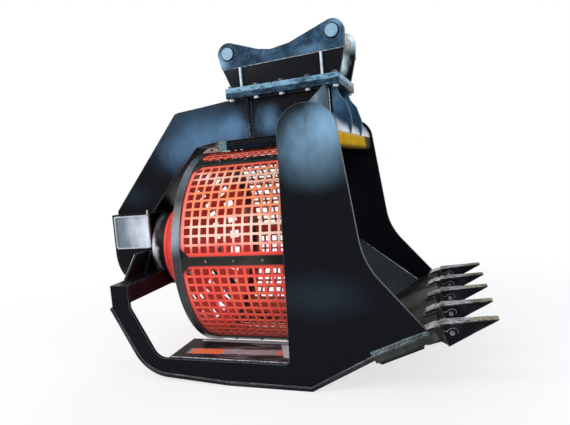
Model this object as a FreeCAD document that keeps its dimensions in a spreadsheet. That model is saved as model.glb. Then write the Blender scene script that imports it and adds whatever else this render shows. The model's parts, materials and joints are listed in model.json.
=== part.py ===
import FreeCAD, Part
import math
import os
import Sketcher
from FreeCAD import Placement, Rotation, Vector

# Screening bucket for an excavator: two side plates on skids carry a mouth with five
# teeth, an arch with the pin hitch and a motor housing. A screen drum turns about the
# X axis between the side plates. +X is the mouth, +Y the left side, +Z up, and the
# origin is on the ground under the middle of the skids, in millimetres.

os.makedirs("parts", exist_ok=True)
doc = FreeCAD.newDocument("screening_bucket")
sheet = doc.addObject("Spreadsheet::Sheet", "sizes")

SIZES = {
    # Side plates and skids
    "drum_gap": (25, "drum to a side plate"),
    "side_t": (20, "side plate thickness"),
    "seat_gap": (0.3, "gap between curved seats that weld metal fills"),
    "skid_t": (20, "skid strip thickness"),
    "skid_over": (4, "skid strip outside the side plate"),
    "skid_rear_x": (-40, "rear end of the flat skid"),
    "bend_angle": (3.65, "slope of the skid behind the flat part"),
    "bend_run": (490, "length of that slope along the ground"),
    "leg_angle": (61.5, "slope of the rear leg"),
    "leg_round": (223, "outer radius between the leg and the skid"),
    "leg_w": (99, "width of the rear leg"),
    "nose_angle": (29.4, "slope of the skid in front"),
    "window_floor_z": (130, "lower edge of the side window"),
    "window_short": (115, "window behind the throat plate"),
    "window_lean": (38, "how far that edge leans forward to its top"),
    "window_rear_round": (80, "rear corner of the window"),
    "window_front_round": (30, "front corner of the window"),
    "lobe_up": (146, "lobe above the drum"),
    "lobe_reach": (193, "lobe in front of the throat plate"),
    "lobe_round": (137, "lobe radius"),
    "cheek_reach": (285, "knee in front of the throat plate"),
    "cheek_z": (639, "height of that knee"),
    "cheek_round": (380, "radius of the knee"),
    # Rear cross beam
    "beam_in": (228, "beam in front of the housing rear"),
    "beam_depth": (115, "size along X"),
    "beam_drop": (119, "beam top below the drum axis"),
    "beam_height": (100, "size along Z"),
    "beam_wall": (12, "wall"),
    "knee_run": (95, "knee gusset along the beam"),
    "knee_in": (20, "knee gusset in front of the beam's rear face"),
    "knee_over": (10, "knee gusset above the drum axis"),
    # Lip and mouth floor
    "mouth_depth": (299, "lip in front of the throat plate"),
    "lip_rear_z": (194, "height of that edge"),
    "lip_angle": (23.95, "slope of the lip"),
    "lip_depth": (310, "length along the slope"),
    "lip_t": (35, "thickness"),
    "lip_over": (8, "lip outside the side plates"),
    "cheek_on_lip": (286, "side plate foot on the lip"),
    "funnel_land": (20, "corner plate outside the throat opening"),
    "funnel_on_lip": (162, "corner plate foot on the lip"),
    "funnel_drop": (36, "corner plate top below the drum axis"),
    "funnel_facets": (7, "bends of the corner plate"),
    "floor_t": (20, "mouth floor thickness"),
    "wear_start": (12, "wear plate from the rear of the lip"),
    "wear_len": (222, "wear plate along the lip"),
    "wear_t": (12, "wear plate thickness"),
    # Drum
    "drum_low": (51, "lowest point of the drum above the ground"),
    "drum_r": (605, "outer radius of the rings"),
    "ring_h": (35, "ring, radial"),
    "ring_w": (48, "ring, along X"),
    "drum_rear_x": (-333, "rear face of the rear ring"),
    "panel_len": (630, "screen panel between the rings"),
    "panel_t": (8, "screen panel thickness"),
    "panel_gap": (2, "gap between two panels under a bar"),
    "bar_w": (50, "clamp bar width"),
    "bar_t": (11, "clamp bar thickness"),
    "bar_flare": (50, "widening of the bar at its ends"),
    "facets": (7, "rows of holes around one panel"),
    "columns": (8, "holes along one panel"),
    "hole_side": (58, "side of a square hole"),
    "screw_af": (16, "clamp screw, across flats"),
    "screw_h": (6, "clamp screw head"),
    "screw_pitch": (160, "clamp screws along a bar"),
    "cone_len": (239, "cone along the axis"),
    "hub_gap": (10, "hub plate to the housing flange"),
    "hub_t": (18, "hub plate thickness"),
    "hub_r": (264, "hub plate radius"),
    "cone_small_r": (250, "inner radius of the cone at the hub"),
    "cone_t": (10, "cone wall, radial"),
    "cone_sides": (24, "facets of the cone"),
    "cone_hole": (34, "side of a cone hole"),
    "cone_hole_row": (72, "hole row from the hub"),
    "cone_front_hole": (54, "side of a hole in the row near the ring"),
    "cone_front_row": (158, "that row from the hub"),
    "hub_bolt_circle": (190, "radius of the hub bolt circle"),
    "hub_bolt_count": (12, "hub bolts"),
    "hub_bolt_af": (30, "hub bolt, across flats"),
    "hub_bolt_h": (13, "hub bolt head"),
    "shaft_r": (70, "output shaft radius"),
    "shaft_len": (165, "output shaft behind the hub"),
    "run_clear": (0.05, "running clearance of the shaft, radial"),
    # Throat and hood
    "throat_gap": (7, "clearance in front of the drum"),
    "throat_t": (15, "throat plate thickness"),
    "throat_foot_z": (45, "foot of the throat plate"),
    "throat_lap": (45, "throat plate inside the drum, radial"),
    "hood_reach": (67, "centre of the hood in front of the throat plate"),
    "hood_up": (8, "centre of the hood above the drum"),
    "hood_r": (125, "outer radius of the hood"),
    "hood_t": (12, "hood thickness"),
    "cross_depth": (45, "front cross piece along X"),
    "cross_height": (82, "front cross piece along Z"),
    "cross_round": (20, "its rounded edges"),
    "gusset_t": (14, "gusset thickness"),
    "gusset_foot": (7, "foot of a front gusset below the hood centre"),
    "gusset_out": (16, "front gusset in front of the hood"),
    "gusset_mid": (88, "height of its widest part above the hood centre"),
    "gusset_neck": (58, "top of a front gusset behind the hood front"),
    "shoulder_edge": (9, "shoulder gusset above the hood at the side plate"),
    "shoulder_reach": (8, "shoulder gusset in front of the hood centre"),
    # Arch
    "arch_half": (190, "outer face of an arch plate"),
    "arch_t": (14, "arch plate and skin thickness"),
    "arch_in": (2, "arch end in front of the housing rear"),
    "arch_end_h": (20, "height of the arch at its rear end"),
    "arch_knee_back": (113, "upper rear knee behind the rear ring"),
    "arch_knee_up": (203, "upper rear knee above the underside"),
    "arch_knee_round": (30, "radius of that knee"),
    "arch_foot_in": (14, "inner edge behind the housing front"),
    "arch_bend_in": (1, "inner knee in front of the rear ring"),
    "arch_fall": (21, "inner knee below the level underside"),
    "arch_level_in": (143, "level underside in front of the rear ring"),
    "arch_gap": (42, "arch above the drum"),
    "arch_reach": (43, "arch front in front of the hood centre"),
    "rib_shift": (10.25, "rib in front of the middle between two bolts"),
    "rib_w": (14, "rib thickness"),
    "rib_out": (40, "rib height off the plate"),
    "rib_taper": (40, "sloped foot of the rib below the flange"),
    # Flange and hitch
    "flange_over": (55, "flange in front of the arch"),
    "flange_len": (660, "length"),
    "flange_half": (247, "half width"),
    "arch_h": (231, "arch below the flange"),
    "guard_gap": (9, "guard under the arch to the drum"),
    "guard_wall": (12, "guard wall"),
    "guard_end": (17, "guard to the ends of the drum"),
    "flange_t": (30, "thickness of each plate"),
    "bolt_r": (10, "flange bolt radius"),
    "bolt_af": (30, "flange bolt, across flats"),
    "bolt_head": (13, "flange bolt head and nut"),
    "bolt_edge": (27, "bolt line from the plate edge"),
    "bolt_count": (5, "bolts along one side"),
    "bolt_clear": (1, "bolt hole clearance, radial"),
    "ear_outer": (190, "outer face of an ear"),
    "ear_t": (24, "ear thickness"),
    "doubler_t": (10, "doubler thickness"),
    "pin_r": (40, "hitch pin radius"),
    "pin_clear": (0.1, "pin clearance, radial"),
    "pin_proud": (14, "pin outside the doubler"),
    "rear_pin_in": (20, "rear pin inside the flange end"),
    "rear_pin_up": (201, "rear pin above the flange"),
    "front_pin_in": (28, "front pin inside the flange end"),
    "front_pin_up": (227, "front pin above the flange"),
    "ear_round": (66, "ear around a pin"),
    "ear_foot_in": (20, "ear foot inside the flange"),
    "step_rear_up": (118, "that edge above the flange"),
    "step_front_up": (136, "that edge above the flange"),
    "step_out": (47, "ear wider at the step than at its foot"),
    "ear_rib_t": (12, "ear rib thickness"),
    "ear_rib_in": (62, "ear rib from the ear's foot"),
    "cross_plate_t": (20, "plate between the ears"),
    "cross_plate_h": (120, "its height"),
    # Motor housing
    "housing_half": (240, "half width and barrel radius"),
    "housing_wall": (12, "wall"),
    "housing_len": (275, "length"),
    "housing_head": (9, "housing top above its barrel radius"),
    "collar": (15, "flange ring outside the barrel, radial"),
    "housing_flange_t": (80, "flange ring length"),
    "flange_ring_w": (55, "flange ring, radial"),
    "cover_t": (12, "rear cover thickness"),
    "panel_frame": (14, "edge of a side panel"),
    "side_panel_t": (10, "side panel thickness"),
    "side_panel_h": (208, "side panel height"),
    "side_panel_in": (10, "side panel inside the ends of the housing"),
    "side_panel_drop": (12, "side panel below the housing top"),
    "port_r": (22, "hose hole radius"),
    "port_pitch": (120, "between the two hose holes"),
    "port_up": (134, "hose holes above the drum axis"),
    "gearbox_gap": (4, "gearbox to the housing wall"),
    "inside_sides": (16, "facets of the gearbox and the motor inside"),
    "gearbox_len": (165, "gearbox length"),
    "shaft_in": (80, "depth of the shaft's bore in the gearbox"),
    "motor_r": (75, "hydraulic motor radius"),
    "motor_len": (80, "hydraulic motor length"),
    # Teeth
    "tooth_edge": (65, "outer tooth centre from the side plate's face"),
    "tooth_count": (5, "teeth"),
    "tooth_angle": (17.9, "slope of a tooth"),
    "tooth_drop": (13, "tooth axis below the lip's middle"),
    "tooth_start": (25, "tooth tip from the lip edge"),
    "tooth_len": (240, "length of a tip"),
    "tooth_h": (108, "height of a tip at its rear"),
    "tooth_w": (92, "width of a tip at its rear"),
    "tooth_end_h": (16, "height of a tip at its end"),
    "tooth_end_w": (62, "width of a tip at its end"),
    "nose_len": (120, "adapter nose in the tip"),
    "nose_clear": (1.5, "nose to socket"),
    "tip_wall": (13, "tip wall around the nose"),
    "strap_t": (20, "adapter strap thickness"),
    "strap_len": (62, "adapter strap on the lip"),
    "adapter_w": (86, "adapter width"),
    # Window ledges and guide brackets
    "ledge_over": (70, "ledge behind the rear ring"),
    "ledge_t": (12, "ledge thickness"),
    "ledge_clear": (14, "ledge to the drum"),
    "guide_in": (157, "guide bracket in front of the rear ring"),
    "guide_w": (47, "guide bracket width"),
    "guide_clear": (8, "guide bracket above the drum"),
    "guide_t": (12, "guide bracket thickness"),
    "guide_tail": (124, "length of its round tail"),
    "guide_tail_h": (27, "height of that tail"),
    "guide_tail_lap": (10, "tail in the bracket"),
    "guide_hole_r": (8, "hole in the tail"),
}
# Sizes that follow from the others: what fits in, stands on or lines up with a piece
value = {alias: entry[0] for alias, entry in SIZES.items()}
value["outer_width"] = 2 * (value["drum_r"] + value["drum_gap"] + value["side_t"])
value["axis_z"] = value["drum_r"] + value["drum_low"]
value["hub_x"] = value["drum_rear_x"] - value["cone_len"] - value["hub_t"]
value["throat_x"] = value["drum_rear_x"] + 2 * value["ring_w"] + value["panel_len"] + value["throat_gap"]
value["throat_front_x"] = value["throat_x"] + value["throat_t"]
value["throat_r"] = value["drum_r"] - value["throat_lap"]
value["hood_x"] = value["throat_front_x"] + value["hood_reach"]
value["hood_z"] = value["axis_z"] + value["drum_r"] + value["hood_up"]
value["shoulder_x"] = value["hood_x"] + value["shoulder_reach"]
value["arch_knee_x"] = value["drum_rear_x"] - value["arch_knee_back"]
value["arch_bend_x"] = value["drum_rear_x"] + value["arch_bend_in"]
value["arch_under_x"] = value["drum_rear_x"] + value["arch_level_in"]
value["arch_under_z"] = value["axis_z"] + value["drum_r"] + value["arch_gap"]
value["arch_front_x"] = value["hood_x"] + value["arch_reach"]
value["flange_x"] = value["arch_front_x"] + value["flange_over"] - value["flange_len"]
value["flange_z"] = value["arch_under_z"] + value["arch_h"]
value["bolt_step"] = (value["flange_len"] - 2 * value["bolt_edge"]) / (value["bolt_count"] - 1)
value["rib_x"] = value["flange_x"] + value["bolt_edge"] + value["bolt_step"] / 2 + value["rib_shift"]
value["rear_pin_x"] = value["flange_x"] + value["rear_pin_in"]
value["rear_pin_z"] = value["flange_z"] + 2 * value["flange_t"] + value["rear_pin_up"]
value["front_pin_x"] = value["flange_x"] + value["flange_len"] - value["front_pin_in"]
value["front_pin_z"] = value["flange_z"] + 2 * value["flange_t"] + value["front_pin_up"]
value["step_rear_z"] = value["flange_z"] + 2 * value["flange_t"] + value["step_rear_up"]
value["step_front_z"] = value["flange_z"] + 2 * value["flange_t"] + value["step_front_up"]
value["housing_front_x"] = value["hub_x"] - value["hub_gap"] - value["housing_flange_t"]
value["housing_rear_x"] = value["housing_front_x"] - value["housing_len"]
value["housing_top_z"] = value["axis_z"] + value["housing_half"] + value["housing_head"]
value["housing_flange_r"] = value["housing_half"] + value["collar"]
value["housing_bore_r"] = value["housing_flange_r"] - value["flange_ring_w"]
value["port_z"] = value["axis_z"] + value["port_up"]
value["gearbox_r"] = value["housing_half"] - value["housing_wall"] - value["gearbox_gap"]
value["ledge_rear_x"] = value["drum_rear_x"] - value["ledge_over"]
value["guide_x"] = value["drum_rear_x"] + value["guide_in"]
value["window_front_x"] = value["throat_front_x"] - value["window_short"]
value["lobe_top_z"] = value["axis_z"] + value["drum_r"] + value["lobe_up"]
value["lobe_front_x"] = value["throat_front_x"] + value["lobe_reach"]
value["cheek_x"] = value["throat_front_x"] + value["cheek_reach"]
value["beam_rear_x"] = value["housing_rear_x"] + value["beam_in"]
value["beam_top_z"] = value["axis_z"] - value["beam_drop"]
value["lip_rear_x"] = value["throat_front_x"] + value["mouth_depth"]
value["funnel_r"] = value["throat_r"] + value["funnel_land"]
value["funnel_top_z"] = value["axis_z"] - value["funnel_drop"]
value["arch_rear_x"] = value["housing_rear_x"] + value["arch_in"]
value["arch_rear_z"] = value["housing_top_z"] + value["arch_end_h"]
value["arch_knee_z"] = value["arch_under_z"] + value["arch_knee_up"]
value["arch_foot_x"] = value["housing_front_x"] - value["arch_foot_in"]
value["arch_bend_z"] = value["arch_under_z"] - value["arch_fall"]
for row, (alias, number) in enumerate(value.items(), start=1):
    sheet.set(f"A{row}", SIZES[alias][1] if alias in SIZES else "follows from other sizes")
    sheet.set(f"B{row}", str(number))
    sheet.setAlias(f"B{row}", alias)
doc.recompute()


# Small helpers
def size(alias):
    return float(getattr(sheet, alias))


def polar(radius, degrees):
    angle = math.radians(degrees)
    return radius * math.cos(angle), radius * math.sin(angle)


def along(point, direction, distance):
    return point[0] + direction[0] * distance, point[1] + direction[1] * distance


def meet(p, direction, q, other):
    """Point where the line through p meets the line through q."""
    cross = direction[0] * other[1] - direction[1] * other[0]
    step = ((q[0] - p[0]) * other[1] - (q[1] - p[1]) * other[0]) / cross
    return along(p, direction, step)


def offset_path(points, distance):
    """Open path moved to its right by a distance, with mitred corners."""
    ways = []
    for a, b in zip(points, points[1:]):
        length = math.hypot(b[0] - a[0], b[1] - a[1])
        ways.append(((b[0] - a[0]) / length, (b[1] - a[1]) / length))
    moved = [(a[0] + way[1] * distance, a[1] - way[0] * distance) for a, way in zip(points, ways)]
    result = [moved[0]]
    for index in range(1, len(ways)):
        result.append(meet(moved[index - 1], ways[index - 1], moved[index], ways[index]))
    last = points[-1]
    result.append((last[0] + ways[-1][1] * distance, last[1] - ways[-1][0] * distance))
    return result


def origin_plane(body, role):
    return next(plane for plane in body.Origin.OriginFeatures if plane.Role == role)


def pin_point(sketch, index, place):
    """Fixes the start of one sketch element at its place."""
    for kind, value, axis in (("DistanceX", place[0], -2), ("DistanceY", place[1], -1)):
        if abs(value) < 1e-7:
            sketch.addConstraint(Sketcher.Constraint("PointOnObject", index, 1, axis))
        else:
            sketch.addConstraint(Sketcher.Constraint(kind, -1, 1, index, 1, value))


def arc_through(start, through, end):
    """Counterclockwise arc over three points, and whether it runs from end to start."""
    ax, ay = through[0] - start[0], through[1] - start[1]
    bx, by = end[0] - start[0], end[1] - start[1]
    turn = 2 * (ax * by - ay * bx)
    first = ax * ax + ay * ay
    second = bx * bx + by * by
    centre = (start[0] + (by * first - ay * second) / turn, start[1] + (ax * second - bx * first) / turn)
    circle = Part.Circle(Vector(*centre, 0), Vector(0, 0, 1), math.dist(centre, start))
    places = (start, end) if turn > 0 else (end, start)
    low, high = [math.atan2(p[1] - centre[1], p[0] - centre[0]) for p in places]
    if high < low:
        high += 2 * math.pi
    return Part.ArcOfCircle(circle, low, high), turn < 0


def draw_outline(sketch, outline):
    """Closed outline of (x, y) corners; a corner with a third item, a point, is reached by an arc."""
    first = sketch.GeometryCount
    count = len(outline)
    ends = []
    for start, end in zip(outline, outline[1:] + outline[:1]):
        backwards = False
        if len(end) == 3:
            arc, backwards = arc_through(start[:2], end[2], end[:2])
            sketch.addGeometry(arc, False)
        else:
            line = Part.LineSegment(Vector(start[0], start[1], 0), Vector(end[0], end[1], 0))
            sketch.addGeometry(line, False)
        ends.append((2, 1) if backwards else (1, 2))
    for index in range(count):
        after = (index + 1) % count
        joint = (first + index, ends[index][1], first + after, ends[after][0])
        sketch.addConstraint(Sketcher.Constraint("Coincident", *joint))
    for index in range(count):
        if len(outline[(index + 1) % count]) == 3:
            sketch.addConstraint(Sketcher.Constraint("Block", first + index))
        elif len(outline[index]) != 3:
            pin_point(sketch, first + index, outline[index])


def draw_circle(sketch, centre, radius):
    """Circle with its radius bound to an expression of the sheet."""
    index = sketch.addGeometry(Part.Circle(Vector(centre[0], centre[1], 0), Vector(0, 0, 1), 10), False)
    for kind, value, axis in (("DistanceX", centre[0], -2), ("DistanceY", centre[1], -1)):
        if abs(value) < 1e-7:
            sketch.addConstraint(Sketcher.Constraint("PointOnObject", index, 3, axis))
        else:
            sketch.addConstraint(Sketcher.Constraint(kind, -1, 1, index, 3, value))
    constraint = sketch.addConstraint(Sketcher.Constraint("Radius", index, 10))
    sketch.setExpression(f"Constraints[{constraint}]", radius)


NODES = []


def pad(label, plane, outlines, length, at=None, circles=()):
    """Body with one sketch on an origin plane, padded along that plane's normal."""
    body = doc.addObject("PartDesign::Body", label)
    body.Label = label
    sketch = body.newObject("Sketcher::SketchObject", label + "_sketch")
    sketch.AttachmentSupport = (origin_plane(body, plane), [""])
    sketch.MapMode = "FlatFace"
    for outline in outlines:
        draw_outline(sketch, outline)
    for centre, radius in circles:
        draw_circle(sketch, centre, radius)
    feature = body.newObject("PartDesign::Pad", label + "_pad")
    feature.Profile = sketch
    feature.setExpression("Length", length)
    sketch.Visibility = False
    for axis, expression in (at or {}).items():
        body.setExpression(f"Placement.Base.{axis}", expression)
    NODES.append(body)
    return body


def round_corners(body, corners, radius, plane_axis):
    """Fillets the pad's edges that stand on the given sketch corners."""
    doc.recompute()
    base = body.Tip
    names = []
    shape = base.Shape
    for number, edge in enumerate(shape.Edges, start=1):
        ends = [vertex.Point for vertex in edge.Vertexes]
        if len(ends) != 2:
            continue
        flat = [tuple(value for axis, value in enumerate(p) if axis != plane_axis) for p in ends]
        if math.dist(flat[0], flat[1]) > 0.01:
            continue
        if any(math.dist(flat[0], corner[:2]) < 0.01 for corner in corners):
            names.append(f"Edge{number}")
    fillet = body.newObject("PartDesign::Fillet", f"{body.Name}_round_{len(body.Group)}")
    fillet.Base = (base, names)
    fillet.setExpression("Radius", radius)
    body.Tip = fillet
    return fillet


def side_pair(label, outlines, thickness, outer, rounds=(), circles=()):
    """The same plate on both sides, with its outer face at plus and minus one distance."""
    for side, expression in (("right", f"-({outer}) + ({thickness})"), ("left", outer)):
        body = pad(f"{label}_{side}", "XZ_Plane", outlines, thickness, {"y": expression}, circles)
        for corners, radius in rounds:
            round_corners(body, corners, radius, 1)


def feature_node(label, shape, placement=None):
    """Sub-part whose shape is made straight from the sheet's values."""
    item = doc.addObject("Part::Feature", label)
    item.Label = label
    item.Shape = shape
    if placement is not None:
        item.Placement = placement
    NODES.append(item)
    return item


def group_node(label, shapes):
    """Repeated sub-parts that share one node, as separate solids."""
    return feature_node(label, Part.makeCompound(shapes))


def prism(points, axis, low, high):
    """Straight prism over (x, z), (y, z) or (x, y) points, between two places on the third axis."""
    places = {
        "x": lambda p: Vector(low, p[0], p[1]),
        "y": lambda p: Vector(p[0], low, p[1]),
        "z": lambda p: Vector(p[0], p[1], low),
    }[axis]
    way = {"x": Vector(1, 0, 0), "y": Vector(0, 1, 0), "z": Vector(0, 0, 1)}[axis]
    corners = [places(p) for p in points]
    face = Part.Face(Part.makePolygon(corners + corners[:1]))
    solid = face.extrude(way * (high - low))
    if solid.Volume < 0:
        solid.reverse()
    return solid


def hexagon(across_flats, height, base, way):
    """Hexagonal bolt head or nut."""
    radius = across_flats / math.sqrt(3)
    corners = [Vector(*polar(radius, 60 * step), 0) for step in range(6)]
    solid = Part.Face(Part.makePolygon(corners + corners[:1])).extrude(Vector(0, 0, height))
    solid.Placement = Placement(base, Rotation(Vector(0, 0, 1), way))
    return solid


def polyhedron(faces):
    """Solid from flat faces given by their corners."""
    shell = Part.makeShell([Part.Face(Part.makePolygon(list(face) + [face[0]])) for face in faces])
    solid = Part.makeSolid(shell)
    if solid.Volume < 0:
        solid.reverse()
    return solid


# Places that several sub-parts share
HALF_OUT = size("outer_width") / 2
HALF_IN = HALF_OUT - size("side_t")
SKID_TOP = size("skid_t")
LIP_WAY = polar(1, size("lip_angle"))
LIP_DOWN = (LIP_WAY[1], -LIP_WAY[0])
LIP_REAR = (size("lip_rear_x"), size("lip_rear_z"))
LEG_WAY = (-math.cos(math.radians(size("leg_angle"))), math.sin(math.radians(size("leg_angle"))))
BEND_RISE = size("bend_run") * math.tan(math.radians(size("bend_angle")))
BEAM_FRONT_X = size("beam_rear_x") + size("beam_depth")
PANEL_X = size("drum_rear_x") + size("ring_w")
THROAT_FRONT_X = size("throat_front_x")
AXIS = Vector(0, 0, size("axis_z"))
HITCH_Z = size("flange_z") + 2 * size("flange_t")
HOUSING_FRONT_X = size("housing_front_x")
HOUSING_REAR_X = size("housing_rear_x")
SEAT = size("seat_gap")


def on_lip(distance, up=0.0):
    """Place on the lip's side view: along its slope from the rear edge, and above its top face."""
    x, z = along(LIP_REAR, LIP_WAY, distance)
    return along((x, z), LIP_DOWN, -up)


# Skids: the strip's upper line is also the lower edge of the side plates
flat_front = LIP_REAR[0] - (LIP_REAR[1] - SKID_TOP) / math.tan(math.radians(size("nose_angle")))
flat_rear = size("skid_rear_x")
bend_top = (flat_rear - size("bend_run"), SKID_TOP + BEND_RISE)
leg_top = meet(bend_top, LEG_WAY, (size("beam_rear_x"), 0), (0, 1))
skid_line = [leg_top, bend_top, (flat_rear, SKID_TOP), (flat_front, SKID_TOP), LIP_REAR]
skid_under = offset_path(skid_line, size("skid_t"))
nose_way = polar(1, size("nose_angle"))
skid_under[-1] = meet(skid_under[-2], nose_way, LIP_REAR, LIP_DOWN)
SKID_OUTER = "sizes.outer_width / 2 + sizes.skid_over"
skid_rounds = [
    ([bend_top], "sizes.leg_round"),
    ([skid_under[1]], "sizes.leg_round + sizes.skid_t"),
]
SKID_WIDTH = "sizes.side_t + sizes.skid_over"
side_pair("skid_strip", [skid_line + skid_under[::-1]], SKID_WIDTH, SKID_OUTER, skid_rounds)

# Side plates: leg, window rail and the tall front cheek with its round lobe
leg_in = along(bend_top, (LEG_WAY[1], -LEG_WAY[0]), size("leg_w"))
window_rear = meet(leg_in, LEG_WAY, (0, size("window_floor_z")), (1, 0))
window_front = (size("window_front_x"), size("window_floor_z"))
lobe_rear = (size("window_front_x") + size("window_lean"), size("lobe_top_z"))
lobe_front = (size("lobe_front_x"), size("lobe_top_z"))
cheek_knee = (size("cheek_x"), size("cheek_z"))
side_outline = [
    (size("beam_rear_x"), size("beam_top_z")),
    (BEAM_FRONT_X, size("beam_top_z")),
    meet(leg_in, LEG_WAY, (BEAM_FRONT_X, 0), (0, 1)),
    window_rear,
    window_front,
    lobe_rear,
    lobe_front,
    cheek_knee,
    on_lip(size("cheek_on_lip")),
    LIP_REAR,
    (flat_front, SKID_TOP),
    (flat_rear, SKID_TOP),
    bend_top,
    leg_top,
]
side_rounds = [
    ([bend_top], "sizes.leg_round"),
    ([window_rear], "sizes.window_rear_round"),
    ([window_front], "sizes.window_front_round"),
    ([lobe_rear, lobe_front], "sizes.lobe_round"),
    ([cheek_knee], "sizes.cheek_round"),
]
side_pair("side_plate", [side_outline], "sizes.side_t", "sizes.outer_width / 2", side_rounds)

# Lip, wear plate and mouth floor
LIP_HALF = "sizes.outer_width / 2 + sizes.lip_over"
lip_outline = [
    on_lip(0),
    on_lip(0, -size("lip_t")),
    on_lip(size("lip_depth"), -size("lip_t")),
    on_lip(size("lip_depth")),
]
pad("lip_plate", "XZ_Plane", [lip_outline], f"2 * ({LIP_HALF})", {"y": LIP_HALF})
wear_end = size("wear_start") + size("wear_len")
wear_under = -size("lip_t") - size("wear_t")
wear_outline = [
    on_lip(size("wear_start"), -size("lip_t")),
    on_lip(size("wear_start") + size("wear_t"), wear_under),
    on_lip(wear_end, wear_under),
    on_lip(wear_end, -size("lip_t")),
]
pad("lip_wear_plate", "XZ_Plane", [wear_outline], f"2 * ({LIP_HALF})", {"y": LIP_HALF})
floor_rear = -(LIP_REAR[0] - THROAT_FRONT_X) / LIP_WAY[0]
floor_top = on_lip(floor_rear)
floor_low = meet(on_lip(0, -size("floor_t")), LIP_WAY, (THROAT_FRONT_X, 0), (0, 1))
floor_outline = [on_lip(0), floor_top, floor_low, on_lip(0, -size("floor_t"))]
SIDE_IN = "sizes.outer_width / 2 - sizes.side_t"
pad("mouth_floor", "XZ_Plane", [floor_outline], f"2 * ({SIDE_IN})", {"y": SIDE_IN})


# Corner plates: facets fan from the lip's corner to the round throat
def funnel(side):
    """Corner wedge between lip, side plate and throat, facing the mouth with its bent facets."""
    corner = on_lip(size("funnel_on_lip"))
    tip = Vector(corner[0], side * HALF_IN, corner[1])
    count = int(size("funnel_facets"))
    top = math.degrees(math.asin((size("funnel_top_z") - size("axis_z")) / size("funnel_r")))
    rim = []
    for step in range(count + 1):
        y, z = polar(size("funnel_r"), -90 + (90 + top) * step / count)
        rim.append(Vector(THROAT_FRONT_X, side * y, size("axis_z") + z))
    wall = Vector(THROAT_FRONT_X, side * HALF_IN, size("funnel_top_z"))
    outer = Vector(THROAT_FRONT_X, side * HALF_IN, floor_top[1])
    middle = Vector(THROAT_FRONT_X, 0, floor_top[1])
    faces = [[tip, a, b] for a, b in zip(rim, rim[1:])]
    faces.append([tip, rim[-1], wall])
    faces.append([tip, wall, outer])
    faces.append([tip, outer, middle])
    faces.append([tip, middle, rim[0]])
    faces.append([middle] + rim + [wall, outer])
    return polyhedron(faces)


group_node("corner_plates", [funnel(1), funnel(-1)])

# Throat plate with its round opening
throat_outline = [
    (-HALF_IN, size("throat_foot_z")),
    (HALF_IN, size("throat_foot_z")),
    (HALF_IN, size("hood_z")),
    (-HALF_IN, size("hood_z")),
]
centre = (0, size("axis_z"))
pad("throat_plate", "YZ_Plane", [throat_outline], "sizes.throat_t", {"x": "sizes.throat_x"},
    circles=[(centre, "sizes.throat_r")])

# Hood: a plate rolled like the lobes, closed in front by the cross piece
hood_front_x = size("hood_x") + size("hood_r")
hood_in = size("hood_r") - size("hood_t")
hood_outline = [
    (size("hood_x") - size("hood_r"), size("hood_z")),
    (hood_front_x, size("hood_z"), (size("hood_x"), size("hood_z") + size("hood_r"))),
    (size("hood_x") + hood_in, size("hood_z")),
    (size("hood_x") - hood_in, size("hood_z"), (size("hood_x"), size("hood_z") + hood_in)),
]
pad("hood_plate", "XZ_Plane", [hood_outline], f"2 * ({SIDE_IN})", {"y": SIDE_IN})
cross_low = size("hood_z") - size("cross_height")
cross_rear = hood_front_x - size("cross_depth")
cross_outline = [
    (cross_rear, cross_low),
    (hood_front_x, cross_low),
    (hood_front_x, size("hood_z")),
    (cross_rear, size("hood_z")),
]
cross = pad("mouth_crosspiece", "XZ_Plane", [cross_outline], f"2 * ({SIDE_IN})", {"y": SIDE_IN})
round_corners(cross, cross_outline[:2], "sizes.cross_round", 1)

# Window ledges: an angle from the side plate towards the drum
drop = size("axis_z") - size("window_floor_z")
ledge_y = math.sqrt((size("drum_r") + size("ledge_clear")) ** 2 - drop ** 2)
ledge_low = size("window_floor_z") - size("ledge_t")
for side, label in ((-1, "window_ledge_right"), (1, "window_ledge_left")):
    ledge_outline = [
        (side * HALF_IN, size("window_floor_z")),
        (side * ledge_y, size("window_floor_z")),
        (side * ledge_y, SKID_TOP),
        (side * (ledge_y + size("ledge_t")), SKID_TOP),
        (side * (ledge_y + size("ledge_t")), ledge_low),
        (side * HALF_IN, ledge_low),
    ]
    pad(
        label, "YZ_Plane", [ledge_outline], "sizes.throat_x - sizes.ledge_rear_x",
        {"x": "sizes.ledge_rear_x"},
    )

# Arch: two plates and two skins make a box beam over the drum
hood_contact = size("hood_r") + SEAT
arch_edge_z = size("arch_under_z")
hood_left = size("hood_x") - math.sqrt(hood_contact ** 2 - (arch_edge_z - size("hood_z")) ** 2)
hood_rise = math.sqrt(hood_contact ** 2 - (size("arch_front_x") - size("hood_x")) ** 2)
hood_mid = (size("hood_x") - hood_contact * 0.6, size("hood_z") + hood_contact * 0.8)
arch_outline = [
    (size("arch_rear_x"), size("housing_top_z")),
    (size("arch_foot_x"), size("housing_top_z")),
    (size("arch_bend_x"), size("arch_bend_z")),
    (size("arch_under_x"), arch_edge_z),
    (hood_left, arch_edge_z),
    (size("arch_front_x"), size("hood_z") + hood_rise, hood_mid),
    (size("arch_front_x"), size("flange_z")),
    (size("flange_x"), size("flange_z")),
    (size("arch_knee_x"), size("arch_knee_z")),
    (size("arch_rear_x"), size("arch_rear_z")),
]
arch_rounds = [([arch_outline[8]], "sizes.arch_knee_round")]
side_pair("arch_plate", [arch_outline], "sizes.arch_t", "sizes.arch_half", arch_rounds)

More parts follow.
